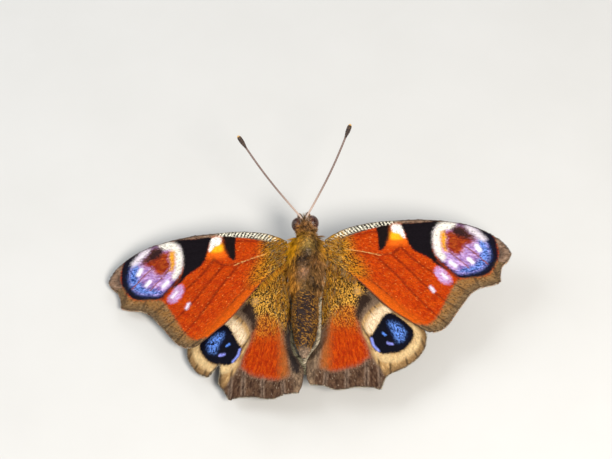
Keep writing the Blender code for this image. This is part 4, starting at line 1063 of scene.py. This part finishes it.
eye = {"centre": (1.0, 7.15, 0.85), "radii": (0.95, 1.05, 1.15), "hairs": 900, "hairColour": (0.5, 0.4, 0.33),
       "hairLength": (0.12, 0.2), "hairThick": 0.008}


def makeEyes():
    finish = Finish("facettedEye", Specular_IOR_Level=0.35, Coat_Weight=0.06, Coat_Roughness=0.15)
    cells = {"Vector": finish.place(), "Scale": 17000, "Randomness": 0.2}
    facets = finish.node("ShaderNodeTexVoronoi", {}, cells, "Distance")
    grain = finish.grain(1500)
    rim = (finish.attribute("rim") + (grain - 0.5) * 0.15).rise(-0.3, -0.5)
    colour = finish.cover((0.022, 0.006, 0.004), (grain.rise(0.35, 0.65), (0.07, 0.018, 0.01)),
                          (rim, (0.42, 0.31, 0.25)))
    material = finish.finishWith(colour, grain * 0.15 + 0.22, facets, 0.00002, 0.5)
    hairFinish = coatFinish("eyeHair")
    centre, radii = np.array(eye["centre"]), np.array(eye["radii"])
    for side, pose in sides.items():
        deselectAll()
        bpy.ops.mesh.primitive_uv_sphere_add(segments=56, ring_count=40, radius=1)
        piece = bpy.context.object
        piece.name = "eye_" + side + "_facetted"
        ball = np.array([tuple(vert.co) for vert in piece.data.vertices])
        points = bodyPoints(mirrored(ball * radii + centre, side)) / perMetre
        piece.data.vertices.foreach_set("co", points.astype(np.float32).ravel())
        if pose["mirror"] < 0:
            piece.data.flip_normals()
        setValue(piece.data, "rim", ball[:, 0])
        piece.data.shade_smooth()
        piece.data.materials.append(material)
        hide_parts("eye_" + side)
        draw = np.random.default_rng(31)
        ways = unit(draw.normal(0, 1, (eye["hairs"], 3)))
        ways = ways[ways[:, 0] > 0.15]
        count = len(ways)
        roots = bodyPoints(mirrored(ways * radii + centre, side))
        outward = bodyVectors(mirrored(unit(ways / radii), side), np.full(count, centre[1]))
        around = np.arctan2(ways[:, 1], ways[:, 2]) / math.tau
        bakeRoots = 0.5 + 0.9 * np.stack([around, ways[:, 0] - 0.575], 1)
        colours = np.tile(eye["hairColour"], (count, 1))
        fuzz = hairs("eyeHair_" + side, roots, outward, outward, draw.uniform(*eye["hairLength"], count),
                     eye["hairThick"], 0.9, 0.1, colours, bakeRoots, hairFinish, draw)
        settle("eye", piece)
        settle("coat", fuzz)


palp = {
    "spots": [(0.42, 7.9, 0.75), (0.5, 8.6, 0.65), (0.58, 8.95, 0.4), (0.66, 9.15, -0.05), (0.7, 9.15, -0.6),
              (0.68, 9.0, -1.05)],
    "radii": [0.22, 0.24, 0.25, 0.22, 0.18, 0.06],
    "fuzz": {"length": (0.15, 0.42), "count": 420, "lift": 0.3,
             "colours": [(0.3, 0.18, 0.08), (0.12, 0.08, 0.05), (0.5, 0.4, 0.28)]},
}
tongue = {"root": [(0, 7.05, -0.45), (0, 7.0, -1.05)], "centre": (7.8, -1.45), "radius": 0.8, "turns": 0.86,
          "tighten": 0.24, "thick": 0.2, "taper": 0.11, "ringing": 0.06}


def makeMouth():
    skinFinish = hornFinish("palpSkin", (0.1, 0.06, 0.035), (0.2, 0.12, 0.07))
    hairFinish = coatFinish("palpHair")
    for side in sides:
        spots = bodyPoints(catmull(mirrored(palp["spots"], side), 0.12))
        radii = spread(palp["radii"], len(spots))
        piece = tubeMesh("palp_" + side + "_skin", spots, radii, skinFinish)
        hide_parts("palp_" + side)
        draw = np.random.default_rng(41)
        settle("coat", piece, fuzzAlong("palpHair_" + side, spots, radii, palp["fuzz"], hairFinish, draw))
    middle, height = tongue["centre"]
    spots = list(tongue["root"])
    for share in np.linspace(0.06, 1, 40):
        angle = math.pi * (1 + 2 * tongue["turns"] * share)
        reach = tongue["radius"] - tongue["tighten"] * share
        spots.append((0, middle + reach * math.cos(angle), height + reach * math.sin(angle)))
    spots = bodyPoints(catmull(spots, 0.06))
    count = len(spots)
    radii = tongue["thick"] - tongue["taper"] * np.linspace(0, 1, count)
    radii *= 1 + tongue["ringing"] * np.cos(np.arange(count) * math.pi)
    finish = hornFinish("tongue", (0.05, 0.025, 0.015), (0.1, 0.055, 0.03))
    piece = tubeMesh("proboscis_coil", spots, radii, finish)
    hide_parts("proboscis")
    settle("horny", piece)


legs = {
    # hip, knee, heel and toe
    "midleg": [(1.15, 1.5, 4.35), (3.7, 2.9, 4.7), (5.3, 5.0, 0.85), (6.6, 7.6, 0.17)],
    "hindleg": [(1.05, -1.5, 4.0), (3.5, -3.6, 4.0), (4.9, -7.2, 0.8), (5.9, -10.2, 0.17)],
}
legFuzz = {"length": (0.18, 0.42), "count": 700, "lift": 0.28,
           "colours": [(0.12, 0.08, 0.05), (0.05, 0.03, 0.02), (0.3, 0.2, 0.12)]}
foreleg = {
    "course": [(0.9, 3.2, -2.0), (0.9, 3.6, -2.6), (1.05, 4.3, -2.75), (1.15, 5.0, -2.7), (1.05, 5.5, -2.4),
               (0.95, 5.8, -2.0)],
    "runs": (0, 0.3, 0.8, 1),
    "radii": (0.2, 0.22, 0.18, 0.06),
    "fuzz": {"length": (0.3, 0.7), "count": 900, "lift": 0.3,
             "colours": [(0.3, 0.2, 0.12), (0.2, 0.13, 0.08), (0.42, 0.33, 0.22)]},
}


def makeLeg(name, side, finish, hairFinish):
    joints = mirrored(legs[name], side)
    joints[0, 2] += joints[0, 0] * math.sin(math.radians(-stance["roll"]))
    hip, knee, heel, toe = joints + (*stance["shift"], 0)
    top = hip + mirrored((-0.25, 0, 1.9), side)
    ground = heel + (toe - heel) * 0.4
    ground[2] = toe[2]
    spots, radii = [], []

    def limb(start, end, sizes, steps=9):
        spots.extend(start + (end - start) * share for share in np.linspace(0, 1, steps))
        radii.extend(spread(sizes, steps))

    limb(top, hip + (top - hip) * 0.1, (0.4, 0.42, 0.28), 6)
    limb(hip + (knee - hip) * 0.06, knee - (knee - hip) * 0.04, (0.22, 0.31, 0.32, 0.28, 0.2))
    limb(knee + (heel - knee) * 0.05, heel - (heel - knee) * 0.04, (0.2, 0.2, 0.18, 0.2))
    foot = np.array([heel + (ground - heel) * 0.15, ground, toe])
    for share in np.linspace(0, 0.8, 5):
        near, far = [np.array([np.interp(end, (0.0, 0.36, 1.0), column) for column in foot.T])
                     for end in (share + 0.015, share + 0.185)]
        limb(near, far, (0.11, 0.15, 0.17, 0.12), 5)
    stem = name + "_" + side
    piece = tubeMesh(stem + "_horn", spots, radii, finish, around=14)
    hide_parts(*[name + "_" + part + "_" + side for part in ("femur", "tibia", "tarsus")])
    draw = np.random.default_rng(51)
    fuzz = fuzzAlong(stem + "_bristles", spots[6:24], radii[6:24], legFuzz, hairFinish, draw)
    way = (toe - ground) / np.linalg.norm(toe - ground)
    aside = np.cross(way, (0, 0, 1))
    claws = []
    for sign, end in ((-1, "_clawIn"), (1, "_clawOut")):
        bent = catmull([toe - way * 0.05 + aside * sign * 0.05, toe + way * 0.18 + aside * sign * 0.14,
                        toe + way * 0.3 + aside * sign * 0.16 - np.array((0, 0, 0.1))], 0.06)
        claws.append(tubeMesh(stem + end, bent, np.linspace(0.055, 0.012, len(bent)), finish, around=8))
    settle("leg", piece, fuzz, *claws)


def makeForeleg(side, finish, hairFinish):
    spots = turned(catmull(mirrored(foreleg["course"], side), 0.15), bodyPlace)
    radii = np.interp(np.linspace(0, 1, len(spots)), foreleg["runs"], foreleg["radii"])
    piece = tubeMesh("foreleg_" + side + "_horn", spots, radii, finish)
    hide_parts("foreleg_" + side)
    draw = np.random.default_rng(61)
    fuzz = fuzzAlong("foreleg_" + side + "_brush", spots, radii, foreleg["fuzz"], hairFinish, draw)
    settle("leg", piece, fuzz)


def makeLegs():
    finish = hornFinish("legHorn", (0.045, 0.026, 0.017), (0.11, 0.07, 0.045))
    hairFinish = coatFinish("legBristle")
    for name in legs:
        for side in sides:
            makeLeg(name, side, finish, hairFinish)
    for side in sides:
        makeForeleg(side, finish, hairFinish)


# hair and fringes of the wings

gold, brown, rust = (0.74, 0.36, 0.025), (0.035, 0.018, 0.01), (0.5, 0.14, 0.01)
cream, dust, soot = (0.9, 0.76, 0.54), (0.36, 0.31, 0.19), (0.02, 0.014, 0.012)
wingFurs = {
    # places outward and backward, the spread that thins the hair outward, lie, lengths and colours
    "foreBaseFur": {"wing": "fore", "out": (0.6, 4.2), "back": (-2.6, 4.0), "thin": 1.7, "count": 2200,
                    "lie": (0.75, 0.66), "length": (0.5, 1.1), "thick": 0.026, "lift": 0.22,
                    "colours": (gold, soot, gold, dust, brown, rust, gold)},
    "hindBaseFur": {"wing": "hind", "out": (-0.2, 5.0), "back": (-0.8, 9.0), "thin": 2.0, "count": 2300,
                    "lie": (0.08, 1.0), "length": (0.6, 1.3), "thick": 0.022, "lift": 0.14,
                    "colours": (gold, gold, soot, brown, rust, gold, dust)},
}
wingFringes = {
    # outline runs and where they start, lie against the outward side, lengths, and colours of both or each side
    "foreMarginFringe": {"wing": "fore", "runs": (1, 2), "part": 0.0, "count": 2600, "lie": (1.0, 0.1),
                         "length": (0.2, 0.38), "thick": 0.02, "lift": 0.08, "inset": 0.06,
                         "colours": (brown, dust, rust, cream)},
    "hindMarginFringe": {"wing": "hind", "runs": (1, 2), "part": 0.0, "count": 2400, "lie": (1.0, 0.1),
                         "length": (0.2, 0.36), "thick": 0.02, "lift": 0.08, "inset": 0.06,
                         "colours": (brown, brown, dust, cream)},
    # painted shade: the left inner fringe gets darker colours because that side of the fold lies in shade; the
    # right keeps the hair's own cream
    "innerFringe": {"wing": "hind", "runs": (3,), "part": 0.2, "count": 4000, "lie": (0.9, -0.8),
                    "length": (0.5, 1.15), "thick": 0.028, "lift": 0.08, "inset": 0.35,
                    "left": (dust, soot, dust, dust, brown), "right": (cream, cream, dust, brown, cream)},
    "foreInnerFringe": {"wing": "fore", "runs": (3,), "part": 0.72, "count": 1300, "lie": (1.0, -0.3),
                        "length": (0.6, 1.4), "thick": 0.028, "lift": 0.08, "inset": 0.4,
                        "left": (gold, rust, gold, brown), "right": (gold, rust, dust, brown)},
}
# loopStep is that of the outline under the hair, and height that of the roots over the sheet's middle
wingHair = {"loopStep": 0.3, "height": 0.06, "step": 0.05, "stray": 0.14, "shade": (0.6, 1.3), "bend": 0.06,
            "tries": 6, "quickShare": 3}


def furPlaces(fur, wing, side, count, draw):
    tries = count * wingHair["tries"]
    places = np.stack([draw.uniform(*fur["out"], tries), draw.uniform(*fur["back"], tries)], 1)
    thin = np.exp(-(np.maximum(places[:, 0] - 0.4, 0) / fur["thin"]) ** 2)
    thin *= smooth((fur["back"][1] - places[:, 1]) / 6.0)
    onWing = shapeDistance(places, wingLoop(wing, side, wingHair["loopStep"])) < -0.05
    places = places[(draw.random(tries) < thin) & onWing][:count]
    return places, np.tile(fur["lie"], (len(places), 1))


def fringePlaces(fur, wing, side, count, draw):
    runs = list(wing["outline"])
    if side == "left" and "tornOuter" in wing:
        first, tear, last = wing["tornOuter"]
        runs[1] = first + tear[1:] + last[1:]
    path = np.concatenate([catmull(runs[run], 0.1) for run in fur["runs"]])
    path = path[np.append(True, np.linalg.norm(np.diff(path, axis=0), axis=1) > 0.01)]
    spots = draw.uniform((len(path) - 1.01) * fur["part"], len(path) - 1.01, count)
    index = spots.astype(int)
    step = path[index + 1] - path[index]
    ahead = unit(step)
    # the outline runs from the hinge round the tip, so its outer side is on the left of its course
    outside = np.stack([ahead[:, 1], -ahead[:, 0]], 1)
    inset = draw.uniform(0.02, fur["inset"], count)[:, None]
    places = path[index] + step * (spots - index)[:, None] - outside * inset
    return places, outside * fur["lie"][0] + ahead * fur["lie"][1]


def wingFrame(wing, side, places, lie):
    # roots on the upper side, outward directions, and the lie in space
    rise, _, _ = wingRelief(wing, places, wingLoop(wing, side, wingHair["loopStep"]))
    lift = wing["middle"] + wingHair["height"] + rise
    across = np.stack([-lie[:, 1], lie[:, 0]], 1)
    here, ahead, aside = [wingPlace(wing, side, places + shift * wingHair["step"], lift)
                          for shift in (0 * lie, lie, across)]
    outward = np.cross(aside - here, ahead - here) * sides[side]["mirror"]
    return here, unit(outward), unit(ahead - here)


def makeWingHair():
    finish = coatFinish("wingHair")
    kinds = [(name, fur, furPlaces, 0) for name, fur in wingFurs.items()]
    kinds += [(name, fur, fringePlaces, 7) for name, fur in wingFringes.items()]
    for side in sides:
        for name, fur, findPlaces, seed in kinds:
            draw = np.random.default_rng(len(name) + len(side) + seed)
            wing = wings[fur["wing"]]
            count = fur["count"] // 1
            places, lie = findPlaces(fur, wing, side, count, draw)
            count = len(places)
            lie = unit(lie) + draw.normal(0, wingHair["stray"], lie.shape)
            roots, outward, way = wingFrame(wing, side, places, lie)
            lengths = draw.uniform(*fur["length"], count)
            paints = np.array(fur.get(side) or fur["colours"])
            paint = paints[draw.integers(0, len(paints), count)] * draw.uniform(*wingHair["shade"], (count, 1))
            bakeRoots = (places - wing["bakeCorner"]) / fineUnwrap
            piece = hairs(name + "_" + side, roots, outward, way, lengths, fur["thick"], fur["lift"],
                          wingHair["bend"], paint, bakeRoots, finish, draw)
            settle("wing", piece)
            print(name, side, len(piece.data.polygons))


makeSkin()
makeCoats()
makeWingHair()
makeAntennae()
makeEyes()
makeMouth()
makeLegs()
print("body, feelers, eyes, mouth and legs made")

# floor


def layFloor():
    deselectAll()
    bpy.ops.mesh.primitive_plane_add(size=3.0, location=(0, 0, 0))
    floor = bpy.context.object
    floor.name = "floor"
    finish = Finish("paleFloor", Roughness=0.75, Specular_IOR_Level=0.2)
    colour = finish.blend(finish.grain(60, 3.0), (0.62, 0.61, 0.585), (0.67, 0.66, 0.64))
    floor.data.materials.append(finish.finishWith(colour))


layFloor()
